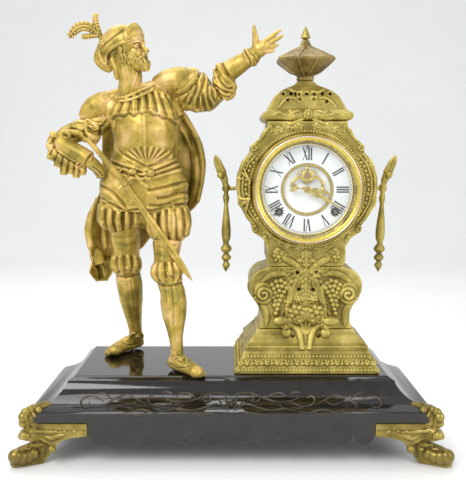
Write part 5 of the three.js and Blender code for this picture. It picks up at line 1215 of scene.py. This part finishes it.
DRUM_LEAVES = [
    [(50, 395), (56, 384), (66, 372)],
    [(72, 360), (80, 345), (84, 326)],
    [(84, 312), (80, 296), (72, 284)],
    [(4, 251), (18, 251), (34, 257), (48, 266), (58, 273)],
    [(30, 393), (40, 389), (48, 396)],
    [(6, 396), (16, 393), (26, 395)],
]
EAR_CURLS = [((64, 369), 4), ((63, 271), 4), ((50, 258), 4)]
DOME_RIBBONS = [
    [(4, 407), (11, 413), (19, 411), (24, 406)],
    [(4, 404), (13, 401), (21, 398), (26, 402)],
    [(26, 408), (34, 411), (42, 408)],
    [(8, 424), (18, 430), (28, 426), (35, 418)],
    [(4, 440), (13, 436), (22, 440), (30, 434)],
]
DOME_FLOWER_HEIGHT = 409
# The bead rows down the drum's sides, in degrees from its top.
SIDE_START, SIDE_END, SIDE_STEP = 58, 124, 2.2


URN_RIBS = 8


def round_dial(radius, turn):
    """Place (x, z) at a radius from the dial's centre; turn runs from the top to the right."""
    return DIAL[0] + radius * math.sin(turn), DIAL[2] + radius * math.cos(turn)


def spiral(centre, small, large, turns, start, steps=10):
    """Places on a spiral that grows from a small to a large radius."""
    count = int(turns * steps)
    places = []
    for k in range(count + 1):
        turn = start + 2 * math.pi * k / steps
        radius = small + (large - small) * k / count
        places.append((centre[0] + radius * math.cos(turn), centre[1] + radius * math.sin(turn)))
    return places


def on_front(skin, line, side, lift=0.0):
    """A line of (out, height) points, laid on one side of the case's front."""
    return [skin.front(CASE_X + side * out, z, lift) for out, z in line]


def ridges(skin, lines, radius, flat):
    """Swelling ridges along lines on both sides of the case's front."""
    return [rod(on_front(skin, line, side), radius * SWELL, flat=flat) for line in lines for side in BOTH]


def leaf(skin, line, width, side=1):
    """Acanthus leaf along a line on the case's front: a rib with lobes on both of its sides."""
    path = curve(line, 5)
    lumps = [rod(on_front(skin, path[::2], side), width * 0.3 * TAPER, flat=0.8, steps=2)]
    along = unit(np.gradient(path, axis=0))
    for share in (0.12, 0.3, 0.48, 0.66, 0.82):
        k = int(share * (len(path) - 1))
        reach = width * (1 - 0.55 * share)
        radii = reach * np.array((0.2, 0.34, 0.1))
        for way in BOTH:
            out = np.array((-along[k][1], along[k][0])) * way
            tip = path[k] + (0.8 * along[k] + 0.55 * out) * reach
            mid = path[k] + (0.3 * along[k] + 0.45 * out) * reach
            lumps.append(rod(on_front(skin, [path[k], mid, tip], side), radii, flat=0.65))
    return lumps


def hollows(points):
    """Brush lines that sink small round holes."""
    return [[(x - 0.15, y), (x + 0.15, y)] for x, y in points]


def pedestal_lumps(skin):
    lumps = ridges(skin, PEDESTAL_SCROLLS, 4.6, 0.8)
    for side in BOTH:
        lumps.append(rod(on_front(skin, spiral(**VOLUTE), side, 0.5), (1.8, 2.4, 3.0), steps=2))
        lumps += [egg(grape, GRAPE_RADIUS) for grape in on_front(skin, GRAPES, side, 1.2)]
        for line in PEDESTAL_LEAVES:
            lumps += leaf(skin, line, 10.5, side)
        for (out, z), radius in PEDESTAL_FLOWERS:
            lumps += rosette(skin.front(CASE_X + side * out, z, 0.8), radius)
    for line in CENTRE_LEAVES:
        lumps += leaf(skin, line, 9.5)
    for line, pad, ball in CONSOLES:
        lumps += skin.strokes([line], 4.4, 1.0, np.array((0.8, 1, 1, 0.7)))
        lumps.append(egg(skin.seen(*pad), (10, 4, 5.5)))
        lumps.append(egg(skin.seen(*ball, 2), (6.8, 5, 6.8)))
        curl = [(ball[0] + 4 * math.cos(a), ball[1] + 4 * math.sin(a)) for a in (0, 1.2, 2.4, 3.6, 4.8)]
        lumps += skin.strokes([curl], 1.2)
    for x, y in PALMETTE_TIPS:
        middle_of_tip = ((x + PALMETTE_FOOT[0]) / 2, (y + PALMETTE_FOOT[1]) / 2)
        lumps += skin.strokes([[PALMETTE_FOOT, middle_of_tip, (x, y)]], 2.8, 0.9)
    lumps += side_leaves(skin, 200, 160)
    return lumps


def side_leaves(skin, top, bottom):
    """A plain leaf down the middle of each end of the pedestal."""
    lumps = []
    for side in BOTH:
        start = CASE_X + side * RAY_START
        path = [skin.along((start, CASE_Y, z), (-side, 0, 0)) for z in np.linspace(top, bottom, 6)]
        lumps.append(rod(path, 5 * TAPER, up=(side, 0, 0), flat=0.6))
        for p in path[1:5]:
            for way in BOTH:
                tip = p + np.array((0, way * 11, -6))
                tip = skin.along((start, tip[1], tip[2]), (-side, 0, 0))
                lumps.append(rod([p, (p + tip) / 2, tip], (2.4, 2.8, 1), up=(side, 0, 0), flat=0.6))
    return lumps


def around(skin, half, z, spacing, motif):
    """A motif in a row along the four sides of the case at one height."""
    lumps = []
    for inward in ((0, 1, 0), (0, -1, 0), (1, 0, 0), (-1, 0, 0)):
        inward = np.array(inward, float)
        tangent = np.array((inward[1], -inward[0], 0))
        reach, depth = half if inward[1] else half[::-1]
        count = int(reach / spacing)
        for i in range(-count, count + 1):
            start = np.array((CASE_X, CASE_Y, z)) - inward * RAY_START + tangent * i * reach / (count + 0.4)
            lumps += motif(skin.along(start, inward, 0, RAY_START - depth), -inward, i)
    return lumps


def flower_or_bud(place_on, facing, i):
    """Motif of the plinth's frieze: flowers, with three beads between neighbours."""
    if i % 2:
        return [egg(place_on, 2.1), egg(place_on + (0, 0, 3.4), 1.3), egg(place_on - (0, 0, 3.4), 1.3)]
    return rosette(place_on, 5.2, 6, facing)


def bead(radius):
    """Motif of a bead row."""
    return lambda place_on, facing, i: [egg(place_on, radius, sides=8, rows=4)]


def plinth_lumps(skin):
    low, high = box("case_plinth")
    half = (high - low)[:2] / 2
    return [
        *around(skin, half * 0.93, low[2] + 11.5, 6.2, flower_or_bud),
        *around(skin, half * 0.96, low[2] + 4.5, 4.2, bead(1.7)),
        *around(skin, half * 0.88, low[2] + 19.5, 4.2, bead(1.7)),
        *around(skin, half * 0.83, low[2] + 30.5, 3.0, bead(0.9)),
    ]


def rim(skin, turn, inset):
    """Point of the drum's front that lies inset from its edge, in a direction from the dial's centre."""
    out = np.array((math.sin(turn), 0, math.cos(turn)))
    start = np.array((DIAL[0], box("case_drum")[0][1] + 6, DIAL[2])) + out * 200
    edge = skin.along(start, -out) - out * inset
    return skin.front(edge[0], edge[2])


def drum_lumps(skin):
    lumps = []
    for side in BOTH:
        for degrees in np.arange(SIDE_START, SIDE_END, SIDE_STEP):
            turn = side * math.radians(degrees)
            lumps.append(egg(rim(skin, turn, 3), 1.5))
            lumps.append(egg(rim(skin, turn, 7.5), (1.2, 1.6, 1.6)))
        for degrees in np.arange(SIDE_START + SIDE_STEP / 2, SIDE_END, 2 * SIDE_STEP):
            turn = side * math.radians(degrees)
            lumps.append(egg(rim(skin, turn, 11.5), 1.9))
        for line in DRUM_LEAVES:
            lumps += leaf(skin, line, 7, side)
        for centre, radius in EAR_CURLS:
            curl = spiral(centre, 0.8, radius, 1.3, 0)
            lumps.append(rod(on_front(skin, curl, side), (1.2, 1.8), steps=2))
    radius = box("bezel")[1][2] - DIAL[2] + 3.2
    return lumps + [egg(skin.front(*round_dial(radius, a)), 1.25) for a in circle(120)]


def dome_lumps(skin):
    lumps = ridges(skin, DOME_RIBBONS, 2.1, 1.0)
    lumps += rosette(skin.front(CASE_X, DOME_FLOWER_HEIGHT, 1), 6, 8)
    for side in BOTH:
        lumps += leaf(skin, [(14, 406), (22, 404), (32, 404)], 6, side)
        lumps += rosette(skin.front(CASE_X + side * 21, 412, 0.5), 3.4)
    return lumps


def dress_urn(skin):
    """Ribs down the corners of the urn's octagon."""
    low, high = box("urn_finial")
    heights = np.linspace(low[2] + 7, high[2] - 9, 9)
    lumps = []
    for i in range(URN_RIBS):
        turn = 2 * math.pi * (i + 0.5) / URN_RIBS
        out = np.array((math.cos(turn), math.sin(turn), 0))
        path = [skin.along(np.array((CASE_X, CASE_Y, z)) + out * 90, -out) for z in heights]
        lumps.append(rod(path, 0.9, up=out))
    return lumps


# Side drops, in their own axes: heights are from the pin that holds them.

DROP_PROFILE = [
    (-104, 0.5), (-100, 3.8), (-97, 5.2), (-94, 3.6), (-92, 2.2), (-90, 5.2), (-87.5, 6.5), (-84.5, 5),
    (-82, 2.4), (-79.5, 5.8), (-76, 7.4), (-72.5, 5.4), (-69, 2.4), (-66.5, 4), (-63, 5.4), (-54, 6),
    (-42, 5), (-30, 3.6), (-19, 2.4), (-17, 3.4), (-14, 3.6), (-12, 4.4), (-9, 3.2), (-5, 2.6), (0, 4.2),
    (4, 4.6), (7, 2.5), (9, 1.5),
]
DROP_LEAF = [(0, 2), (4, 11), (8, 22), (12, 32), (15.5, 40)]
DROP_BALL = (7, 17)
DROP_REACH = 98.5
RIGHT_DROP_LEAN = 0.035


def drop(side, name):
    """Side drop: a turned rod, a leaf that leans outwards and a ball."""
    low, high = box(name)
    lean = RIGHT_DROP_LEAN if side > 0 else 0
    out = CASE_X + side * DROP_REACH
    pin = np.array((out, (low[1] + high[1]) / 2 - 1, DIAL[2]))
    leaf_line = [pin + (side * x + lean * z, 0, z) for x, z in DROP_LEAF]
    lumps = [
        upright(DROP_PROFILE, pin, -lean),
        rod(leaf_line, (2, 2.8, 4.2, 3.6, 0.5), flat=0.45, sides=12),
        rod(leaf_line, (1.2, 1.4, 1.2, 0.8, 0.4), flat=2.2),
        egg(pin + (side * DROP_BALL[0], -2.5, DROP_BALL[1]), 4.6),
    ]
    cast(name.replace("side_drop", "drop"), name, "case_bronze", 0.5, 5, lambda skin: lumps)


# The case's castings, with the passes of smoothing that each one's own form gets.
CASE_PARTS = {"plinth": 1, "pedestal": 26, "drum": 3, "dome": 4}
# How far the drum's back stays below the rear cover, and how far its eyes' melted ends would rise.
COVER_GAP = 0.25
EYE_ROUNDING = 0.8


def clear_of_cover(points):
    """Keeps the drum's back flat round the hinge's eyes, so that the rear cover turns clear of it."""
    level = box("rear_cover")[0][1] - COVER_GAP
    rounded = (points[:, 1] > level) & (points[:, 1] < level + EYE_ROUNDING)
    points[rounded, 1] = level
    return points


def case():
    """The ornament is laid on the whole case, and each of its castings takes what lies at its own height."""
    skins = {name: melted(solid(f"case_{name}"), 0.8, passes) for name, passes in CASE_PARTS.items()}
    skin = Skin(merged(skins.values()))
    ornament = [*plinth_lumps(skin), *pedestal_lumps(skin), *drum_lumps(skin), *dome_lumps(skin)]
    for name, own_skin in skins.items():
        low, high = box(f"case_{name}")
        own = [lump for lump in ornament if low[2] <= lump[0][:, 2].mean() < high[2]]
        whole = melted(merged([own_skin, *own]), 0.7, 1)
        whole = sculpted(whole, [(hollows(PEDESTAL_HOLLOWS), 1.5, -5), (hollows(DOME_HOLLOWS), 1.2, -5)])
        if name == "drum":
            whole = clear_of_cover(whole[0]), whole[1]
        piece(name, whole, "case_bronze", f"case_{name}")
    cast("urn", "urn_finial", "case_bronze", 0.6, 2, dress_urn, finish="urn_bronze")
    cast("spike", "urn_spike", "case_bronze", 0.4, 2)
    drop(-1, "side_drop_left")
    drop(1, "side_drop_right")


# Dial

NUMERALS = ("XII", "I", "II", "III", "IIII", "V", "VI", "VII", "VIII", "IX", "X", "XI")
NUMERAL_FOOT = 35.5
NUMERAL_TOP = 50.8
THICK = 1.9
THIN = 0.8
SERIF = 0.32
LETTER_WIDTHS = {"I": 2.9, "V": 6.2, "X": 6.2}
PAINT_HEIGHT = 0.09
MINUTE_RING = (51.9, 53.2)
MINUTE_LINE = 0.28


def stroke(a, b, width):
    """Corners of a straight stroke from a to b, ends level with the numeral's foot and top."""
    half = width / 2
    return [(a[0] - half, a[1]), (a[0] + half, a[1]), (b[0] + half, b[1]), (b[0] - half, b[1])]


def rectangle(x0, y0, x1, y1):
    return [(x0, y0), (x1, y0), (x1, y1), (x0, y1)]


def letter(kind, x):
    """Strokes and serifs of one letter, at x across from the numeral's middle."""
    low, high, half = NUMERAL_FOOT, NUMERAL_TOP, LETTER_WIDTHS[kind] / 2 - 0.6

    def foot(at_x, at_y, reach):
        return rectangle(at_x - reach, at_y, at_x + reach, at_y + SERIF)

    if kind == "I":
        return [stroke((x, low), (x, high), THICK), foot(x, low, 1.3), foot(x, high - SERIF, 1.3)]
    if kind == "V":
        thick, thin = stroke((x, low), (x - half, high), THICK), stroke((x + 0.2, low), (x + half, high), THIN)
        return [thick, thin, foot(x - half, high - SERIF, 1.3), foot(x + half, high - SERIF, 1.1)]
    thick = stroke((x + half, low), (x - half, high), THICK)
    thin = stroke((x - half, low), (x + half, high), THIN)
    return [thick, thin, *[foot(x + s * half, at, 1.1) for s in BOTH for at in (low, high - SERIF)]]


def slab(corners, turn, front):
    """Thin raised plate on the dial, from corners given as (across, out) for the direction of turn."""
    sin, cos = math.sin(turn), math.cos(turn)
    rings = []
    for y in (front, front - PAINT_HEIGHT):
        rings.append([(DIAL[0] + a * cos + r * sin, y, DIAL[2] - a * sin + r * cos) for a, r in corners])
    return loft(rings)


def numerals():
    """Roman numerals, minute marks and the two lines of the minute ring, as thin raised plates."""
    front = box("chapter_ring")[0][1]
    lumps = []
    for hour, word in enumerate(NUMERALS):
        turn = 2 * math.pi * hour / 12
        width = sum(LETTER_WIDTHS[kind] for kind in word)
        x = -width / 2
        for kind in word:
            for corners in letter(kind, x + LETTER_WIDTHS[kind] / 2):
                lumps.append(slab(corners, turn, front))
            x += LETTER_WIDTHS[kind]
    for minute in range(60):
        turn = 2 * math.pi * minute / 60
        half = 0.42 if minute % 5 == 0 else 0.17
        lumps.append(slab(rectangle(-half, MINUTE_RING[0], half, MINUTE_RING[1]), turn, front))
    for radius in MINUTE_RING:
        outline = rectangle(radius, front, radius + MINUTE_LINE, front - PAINT_HEIGHT)
        lumps.append(turned(outline, (DIAL[0], 0, DIAL[2]), 144))
    piece("numerals", merged(lumps), "porcelain", finish="dial_paint", sharp=30)


WINDING_HOLES = [(-34, -27), (34, -27)]
GROMMET = [(3.0, 0.1), (4.9, 0.1), (4.6, -0.9), (3.6, -1.2), (3.0, -0.8)]


def grommets():
    """Beaded rims of the two winding holes."""
    front = box("chapter_ring")[0][1]
    lumps = []
    for x, z in WINDING_HOLES:
        centre = np.array((DIAL[0] + x, front, DIAL[2] + z))
        lumps.append(turned(GROMMET, centre, 40))
        lumps += [egg(centre + (5.4 * math.sin(a), -0.3, 5.4 * math.cos(a)), 0.75) for a in circle(10)]
    piece("winding_grommets", merged(lumps), "brass", finish="urn_bronze", sharp=40)


def dress_bezel(skin):
    """Rope and bead mouldings round the bezel."""
    outer = box("bezel")[1][2] - DIAL[2]
    turn = 2 * np.pi * np.arange(97) / 96
    rope = rod([skin.front(*round_dial(outer - 1.4, a)) for a in turn], 1.2, steps=2)
    beads = [egg(skin.front(*round_dial(outer - 3.1, a)), 0.85, sides=8, rows=4) for a in circle(150)]
    return [rope, *beads]


REFLECTOR_WAVES = 80
REFLECTOR_INNER = 54.4
REFLECTOR_OUTER = 61.6


def reflector():
    """Conical gilt reflector inside the glass, with engraved leaves."""
    ring_front = box("chapter_ring")[0][1]
    glass_back = box("bezel_glass")[1][1]
    rise = ring_front - glass_back - 0.8
    steps = [(REFLECTOR_INNER, -0.25), (REFLECTOR_INNER + 0.9, -0.9), (REFLECTOR_INNER + 1.4, -0.7),
             (REFLECTOR_OUTER - 1.2, -rise * 0.85), (REFLECTOR_OUTER, -rise)]
    back = [(REFLECTOR_OUTER, -rise + 0.6), (REFLECTOR_INNER + 1.4, -0.1)]
    centre = (DIAL[0], ring_front, DIAL[2])
    lumps = [turned(steps + back, centre, 144)]
    for a in circle(REFLECTOR_WAVES):
        line = []
        for share in (0.2, 0.45, 0.8):
            radius = REFLECTOR_INNER + share * (REFLECTOR_OUTER - REFLECTOR_INNER)
            x, z = round_dial(radius, a + 0.035 * share)
            line.append((x, ring_front - rise * share, z))
        lumps.append(rod(line, 0.6 * SWELL, steps=2, sides=6))
    piece("gilt_reflector", merged(lumps), "gilt_brass", finish="orange_gilt", sharp=35)


# The pale ring in the bezel is a painted highlight.
HIGHLIGHT_LINE_RADIUS = 62.9
BEZEL_LIP = [(58.3, 2.2), (58.3, 1.2), (59.6, 0), (61.2, -0.45), (62.6, -0.1), (62.6, 1)]


def painted_highlight_line():
    """Pale ring round the inside of the bezel, a painted highlight."""
    centre = (DIAL[0], box("bezel")[0][1], DIAL[2])
    outline = [(HIGHLIGHT_LINE_RADIUS + 0.85 * math.cos(a), 0.7 * math.sin(a)) for a in circle(10)]
    ring = turned(outline, centre, 144)
    piece("bezel_painted_highlight", ring, "gilt_brass", body=BODY_OF["bezel"], finish="painted_highlight_line")
    lip = turned(BEZEL_LIP, centre, 144)
    piece("bezel_lip", lip, "gilt_brass", body=BODY_OF["bezel"], finish="orange_gilt", sharp=40)


# Bars of the bridge's half, as shares of its half width and height, with their radii and flatness.
BRIDGE_BARS = [
    ([(1, 0), (1.02, 0.3), (0.75, 0.55), (0.4, 0.6), (0.22, 0.8), (0, 1)], (2.4, 1.9, 2.2, 1.8), 0.6),
    ([(0.75, 0.55), (0.6, 0.85), (0.35, 0.9), (0.38, 0.72)], 1.3 * SWELL, 0.8),
    ([(0.4, 0.6), (0.2, 0.45), (0, 0.5)], 1.5, 0.7),
]


def bridge():
    """Openwork bridge of the visible escapement, over the CAD one's feet and pivots."""
    low, high = box("escapement_bridge")
    y = low[1] + 1.3
    reach = (high[0] - low[0]) / 2 - 2
    top = high[2] - 3
    foot = DIAL[2]
    lumps = [egg((DIAL[0], y, top), (3.4, 1.2, 3.4)), egg((DIAL[0], y, (top + foot) / 2), (2.6, 1.2, 2.6))]
    for side in BOTH:
        def at(x, z):
            return (DIAL[0] + side * x * reach, y, foot + z * (top - foot))
        lumps += [
            *[rod([at(*p) for p in line], radii, flat=flat) for line, radii, flat in BRIDGE_BARS],
            egg(at(1, 0), (3, 2, 3)),
            rod([at(1, 0), (DIAL[0] + side * reach, high[1], foot)], 1.6, up=(1, 0, 0)),
        ]
    piece("escapement_bridge_ornate", melted(merged(lumps), 0.35, 1), "gilt_brass", "escapement_bridge")


# Half outlines of the hands, as shares of their length along and across, with their radii.
MINUTE_ORNAMENT = [
    ([(0.1, 0.0), (0.2, 0.06), (0.32, 0.055), (0.4, 0.0)], 0.85),
    ([(0.38, 0.0), (0.47, 0.05), (0.56, 0.035), (0.6, 0.0)], 0.7),
    ([(0.22, 0.0), (0.27, 0.035), (0.3, 0.0)], 0.6),
    ([(0.6, 0.0), (0.68, 0.03), (0.76, 0.0)], 0.6),
    ([(0.0, 0.0), (0.75, 0.0), (0.98, 0.0)], (1.6, 1.0, 0.5)),
]
HOUR_ORNAMENT = [
    ([(0.1, 0.0), (0.25, 0.1), (0.42, 0.08), (0.5, 0.0)], 0.9),
    ([(0.48, 0.0), (0.62, 0.1), (0.78, 0.06), (0.86, 0.0)], 0.85),
    ([(0.55, 0.0), (0.66, 0.04), (0.75, 0.0)], 0.6),
    ([(0.0, 0.0), (0.8, 0.0), (0.98, 0.0)], (1.6, 1.1, 0.5)),
    ([(0.0, 0.0), (-0.3, 0.0), (-0.45, 0.0)], (1.4, 1.0, 1.3)),
    ([(-0.42, 0.0), (-0.5, 0.08), (-0.57, 0.17)], (1.5, 1.6, 0.5)),
]
HAND_DEPTH = 0.7


def ornate_hand(cad, ornaments):
    """Ornate gilt hand over the CAD one: scrolls and beads in its own direction."""
    core = solid(cad)
    places = core[0]
    front = places[:, 1].min()
    away = places[:, [0, 2]] - DIAL[[0, 2]]
    far = away[np.argmax(np.linalg.norm(away, axis=1))]
    length = np.linalg.norm(far)
    along = far / length
    across = np.array((-along[1], along[0]))

    def at(a, c):
        x, z = DIAL[[0, 2]] + along * a * length + across * c * length
        return (x, front + HAND_DEPTH, z)

    lumps = [core]
    for line, radius in ornaments:
        for side in BOTH:
            lumps.append(rod([at(a, c * side) for a, c in line], radius, flat=0.6))
    piece(f"{cad}_ornate", melted(merged(lumps), 0.3, 1), "gilt_brass", cad)


def dial():
    """All that is round the dial's centre, from the bezel to the hands."""
    numerals()
    grommets()
    cast("bezel_ring", "bezel", "gilt_brass", 0.45, 2, dress_bezel, fine=0, finish="aged_gilt")
    reflector()
    painted_highlight_line()
    bridge()
    ornate_hand("minute_hand", MINUTE_ORNAMENT)
    ornate_hand("hour_hand", HOUR_ORNAMENT)


# Base and feet

BASE_SCROLLS = [
    [(231, 396), (222, 393), (212, 393), (200, 398), (186, 402), (172, 401), (162, 397)],
    [(228, 408), (216, 404), (204, 408), (192, 411), (178, 409), (168, 411)],
    [(176, 400), (166, 405), (158, 407), (150, 404), (148, 399), (152, 396), (156, 399)],
    [
        (147, 405), (138, 400), (128, 395), (120, 397), (112, 401), (106, 406), (111, 411), (117, 408),
        (114, 404),
    ],
    [(166, 411), (154, 413), (142, 410), (130, 412), (118, 415)],
    [(104, 402), (96, 397), (87, 397), (81, 402), (84, 408), (90, 407), (89, 402)],
    [(200, 396), (206, 402), (214, 400)],
    [(190, 413), (200, 415), (212, 413), (222, 416)],
    [(231, 414), (224, 408), (219, 400)],
    [(231, 414), (227, 405), (226, 396)],
    [(196, 399), (190, 394), (182, 393), (176, 397)],
    [(186, 402), (180, 408), (171, 410)],
    [(138, 400), (133, 404), (127, 405), (122, 402)],
    [(158, 407), (165, 409), (172, 407)],
    [(212, 393), (208, 397), (212, 401)],
    [(112, 399), (105, 394), (97, 393)],
    [(150, 412), (141, 415), (130, 415)],
    [(174, 396), (168, 392), (160, 393)],
]
BASE_FLOWER = (231.3, 405)
MIRROR_X = 462.6
BASE_EDGE_ANGLE = 24


def mirrored(lump, across_x, across_y):
    """A lump turned over in X, in Y or in both."""
    points, faces = lump
    flip = np.array((-1 if across_x else 1, -1 if across_y else 1, 1))
    if across_x != across_y:
        faces = [tuple(reversed(f)) for f in faces]
    return points * flip, faces


def base():
    """Enamelled shell, and the rubbed gilt scrolls on its front slope."""
    shell = solid("base_casting")
    thing = piece("base", shell, "black_enamel_iron", "base_casting", sharp=BASE_EDGE_ANGLE)
    soften(thing, 0.5, angle_limit=math.radians(BASE_EDGE_ANGLE))
    skin = Skin(shell)
    lines = BASE_SCROLLS + [[(MIRROR_X - x, y) for x, y in line] for line in BASE_SCROLLS]
    lumps = skin.strokes(lines, 1.7, 0.45)
    lumps += rosette(skin.seen(*BASE_FLOWER), 6, 8)
    piece("base_scrolls", merged(lumps), "black_enamel_iron", finish="rubbed_gilt")


FOOT_SCROLLS = [
    [
        (47, 402), (40, 403), (33, 407), (27, 411), (22, 417), (21, 424), (27, 429), (34, 431), (45, 432),
        (60, 433),
    ],
    [(31, 411), (34, 416), (39, 415), (40, 410), (36, 409)],
    [(27, 431), (21, 433), (19, 438), (23, 441), (27, 438), (25, 435)],
    [(44, 437), (50, 439), (56, 437), (64, 435)],
]
FOOT_KNOBS = [
    ((38, 410), 5), ((23, 436), 5.5), ((51, 450), 5), ((64, 431), 2.0), ((55, 432), 2.0), ((73, 432), 2.0),
]
PAW = [((15, 458), 9), ((21, 458.5), 9), ((27, 457.5), 8), ((33, 455), 7)]
FOOT_CORNER = [((29, 409), 4.5), ((24.5, 412), 5.5), ((22, 417), 6), ((22, 423), 5.5), ((26, 428), 4.5)]
FOOT_BRUSHES = [
    ([[(29, 443), (35, 446), (42, 444)]], 1.8, 1.2),
    ([[(28, 447), (35, 450), (42, 448)]], 1.4, -1.6),
    ([[(46, 446), (45, 458)]], 1.6, -1.6),
    ([[(45, 431), (84, 431)]], 1.2, -1.2),
]
REAR_ORNAMENT_TOP = 46


def squeezed(points, name):
    """Keeps a piece inside the box of its CAD node."""
    low, high = box(name)
    least, most = points.min(0), points.max(0)
    start, end = np.maximum(least, low), np.minimum(most, high)
    return start + (points - least) * (end - start) / (most - least)


def feet():
    """The left feet, mirrored to the right. The rear one takes the front one's lower ornament."""
    cores = {end: melted(solid(f"foot_{end}_left"), 0.7, 30) for end in ("front", "rear")}
    cores["front"] = sculpted(cores["front"], FOOT_BRUSHES)
    skin = Skin(cores["front"])
    lumps = [
        *skin.strokes(FOOT_SCROLLS, 3.2, 0.9),
        *[egg(skin.seen(*p), r, sides=20, rows=12) for p, r in FOOT_KNOBS + FOOT_CORNER],
        *[egg(skin.seen(*p, -1.5), r, sides=24, rows=16) for p, r in PAW],
    ]
    low_lumps = [mirrored(lump, False, True) for lump in lumps if lump[0][:, 2].mean() < REAR_ORNAMENT_TOP]
    for end, own in (("front", lumps), ("rear", low_lumps)):
        points, faces = melted(merged([cores[end], *own]), 0.65, 12)
        whole = squeezed(points, f"foot_{end}_left"), faces
        for side in ("left", "right"):
            name = f"foot_{end}_{side}"
            piece(f"scroll_{name}", mirrored(whole, side == "right", False), "feet_gilt", name)


def finish_nodes():
    """Paints the CAD nodes, and softens the edges of those that show."""
    slots = {s["node"]: s["material_slot"] for s in frame["record"]["subparts"]}
    for name, thing in NODES.items():
        paint(thing, slots[name])
        if not thing.hide_render:
            soften(thing, 0.4, limit_method="ANGLE", harden_normals=True)


# Stage, lights and camera

FLOOR_FRONT, FLOOR_BACK = -2600, 1500
SWEEP_RADIUS, SWEEP_STEPS = 900, 12
WALL_HEIGHT, HALF_WIDTH = 3600, 4200
# Lamps: name, place, size and power.
LAMPS = [
    ("key", (-900, -1300, 1500), 1100, 26),
    ("fill", (1300, -900, 900), 1000, 10),
    ("crown", (-200, 500, 1700), 1200, 14),
]
LAMP_TARGET = Vector((0, 0, 250))
SENSOR_WIDTH = 36


def backdrop():
    """Pale floor that sweeps up into a wall."""
    profile = [(FLOOR_FRONT, 0), (FLOOR_BACK, 0)]
    for i in range(1, SWEEP_STEPS + 1):
        turn = math.pi / 2 * i / SWEEP_STEPS
        profile.append((FLOOR_BACK + SWEEP_RADIUS * math.sin(turn), SWEEP_RADIUS * (1 - math.cos(turn))))
    profile.append((FLOOR_BACK + SWEEP_RADIUS, WALL_HEIGHT))
    points = [(x, y, z) for y, z in profile for x in (-HALF_WIDTH, HALF_WIDTH)]
    faces = [(2 * i, 2 * i + 1, 2 * i + 3, 2 * i + 2) for i in range(len(profile) - 1)]
    sweep = new_mesh("backdrop", (points, faces))
    sweep.data.shade_smooth()
    material, tree, shader = new_material("pale_floor", {"Roughness": 0.55})
    tones = [(0.3, (0.84, 0.845, 0.84)), (0.7, (0.87, 0.872, 0.865))]
    feed(tree, shader, ramp(tree, noise(tree, place(tree), 400, 2), tones))
    sweep.data.materials.append(material)


def lights():
    """Three soft lamps and a pale room."""
    for name, where, size, power in LAMPS:
        lamp = link(name, bpy.data.lights.new(name, "AREA"))
        lamp.data.size = size * MM
        lamp.data.energy = power
        lamp.location = Vector(where) * MM
        lamp.rotation_euler = (LAMP_TARGET - Vector(where)).to_track_quat("-Z", "Y").to_euler()
    room = bpy.data.worlds.new("room")
    room.use_nodes = True
    room.node_tree.nodes["Background"].inputs["Color"].default_value = (0.96, 0.98, 1, 1)
    room.node_tree.nodes["Background"].inputs["Strength"].default_value = 0.7
    bpy.context.scene.world = room


def photo_camera():
    """Camera where the photograph's stood."""
    camera = link("camera", bpy.data.cameras.new("camera"))
    camera.location = CAMERA * MM
    camera.rotation_euler = (math.pi / 2 - CAMERA_DOWN, 0, 0)
    camera.data.sensor_width = SENSOR_WIDTH
    camera.data.lens = FOCAL_PIXELS * SENSOR_WIDTH / PICTURE_HEIGHT
    camera.data.shift_x = CENTRE_OFFSET_PIXELS / PICTURE_HEIGHT
    camera.data.clip_start = 0.01
    bpy.context.scene.camera = camera
    bpy.context.scene.view_settings.view_transform = "Standard"


finish_nodes()
figure()
case()
dial()
base()
feet()
backdrop()
lights()
photo_camera()
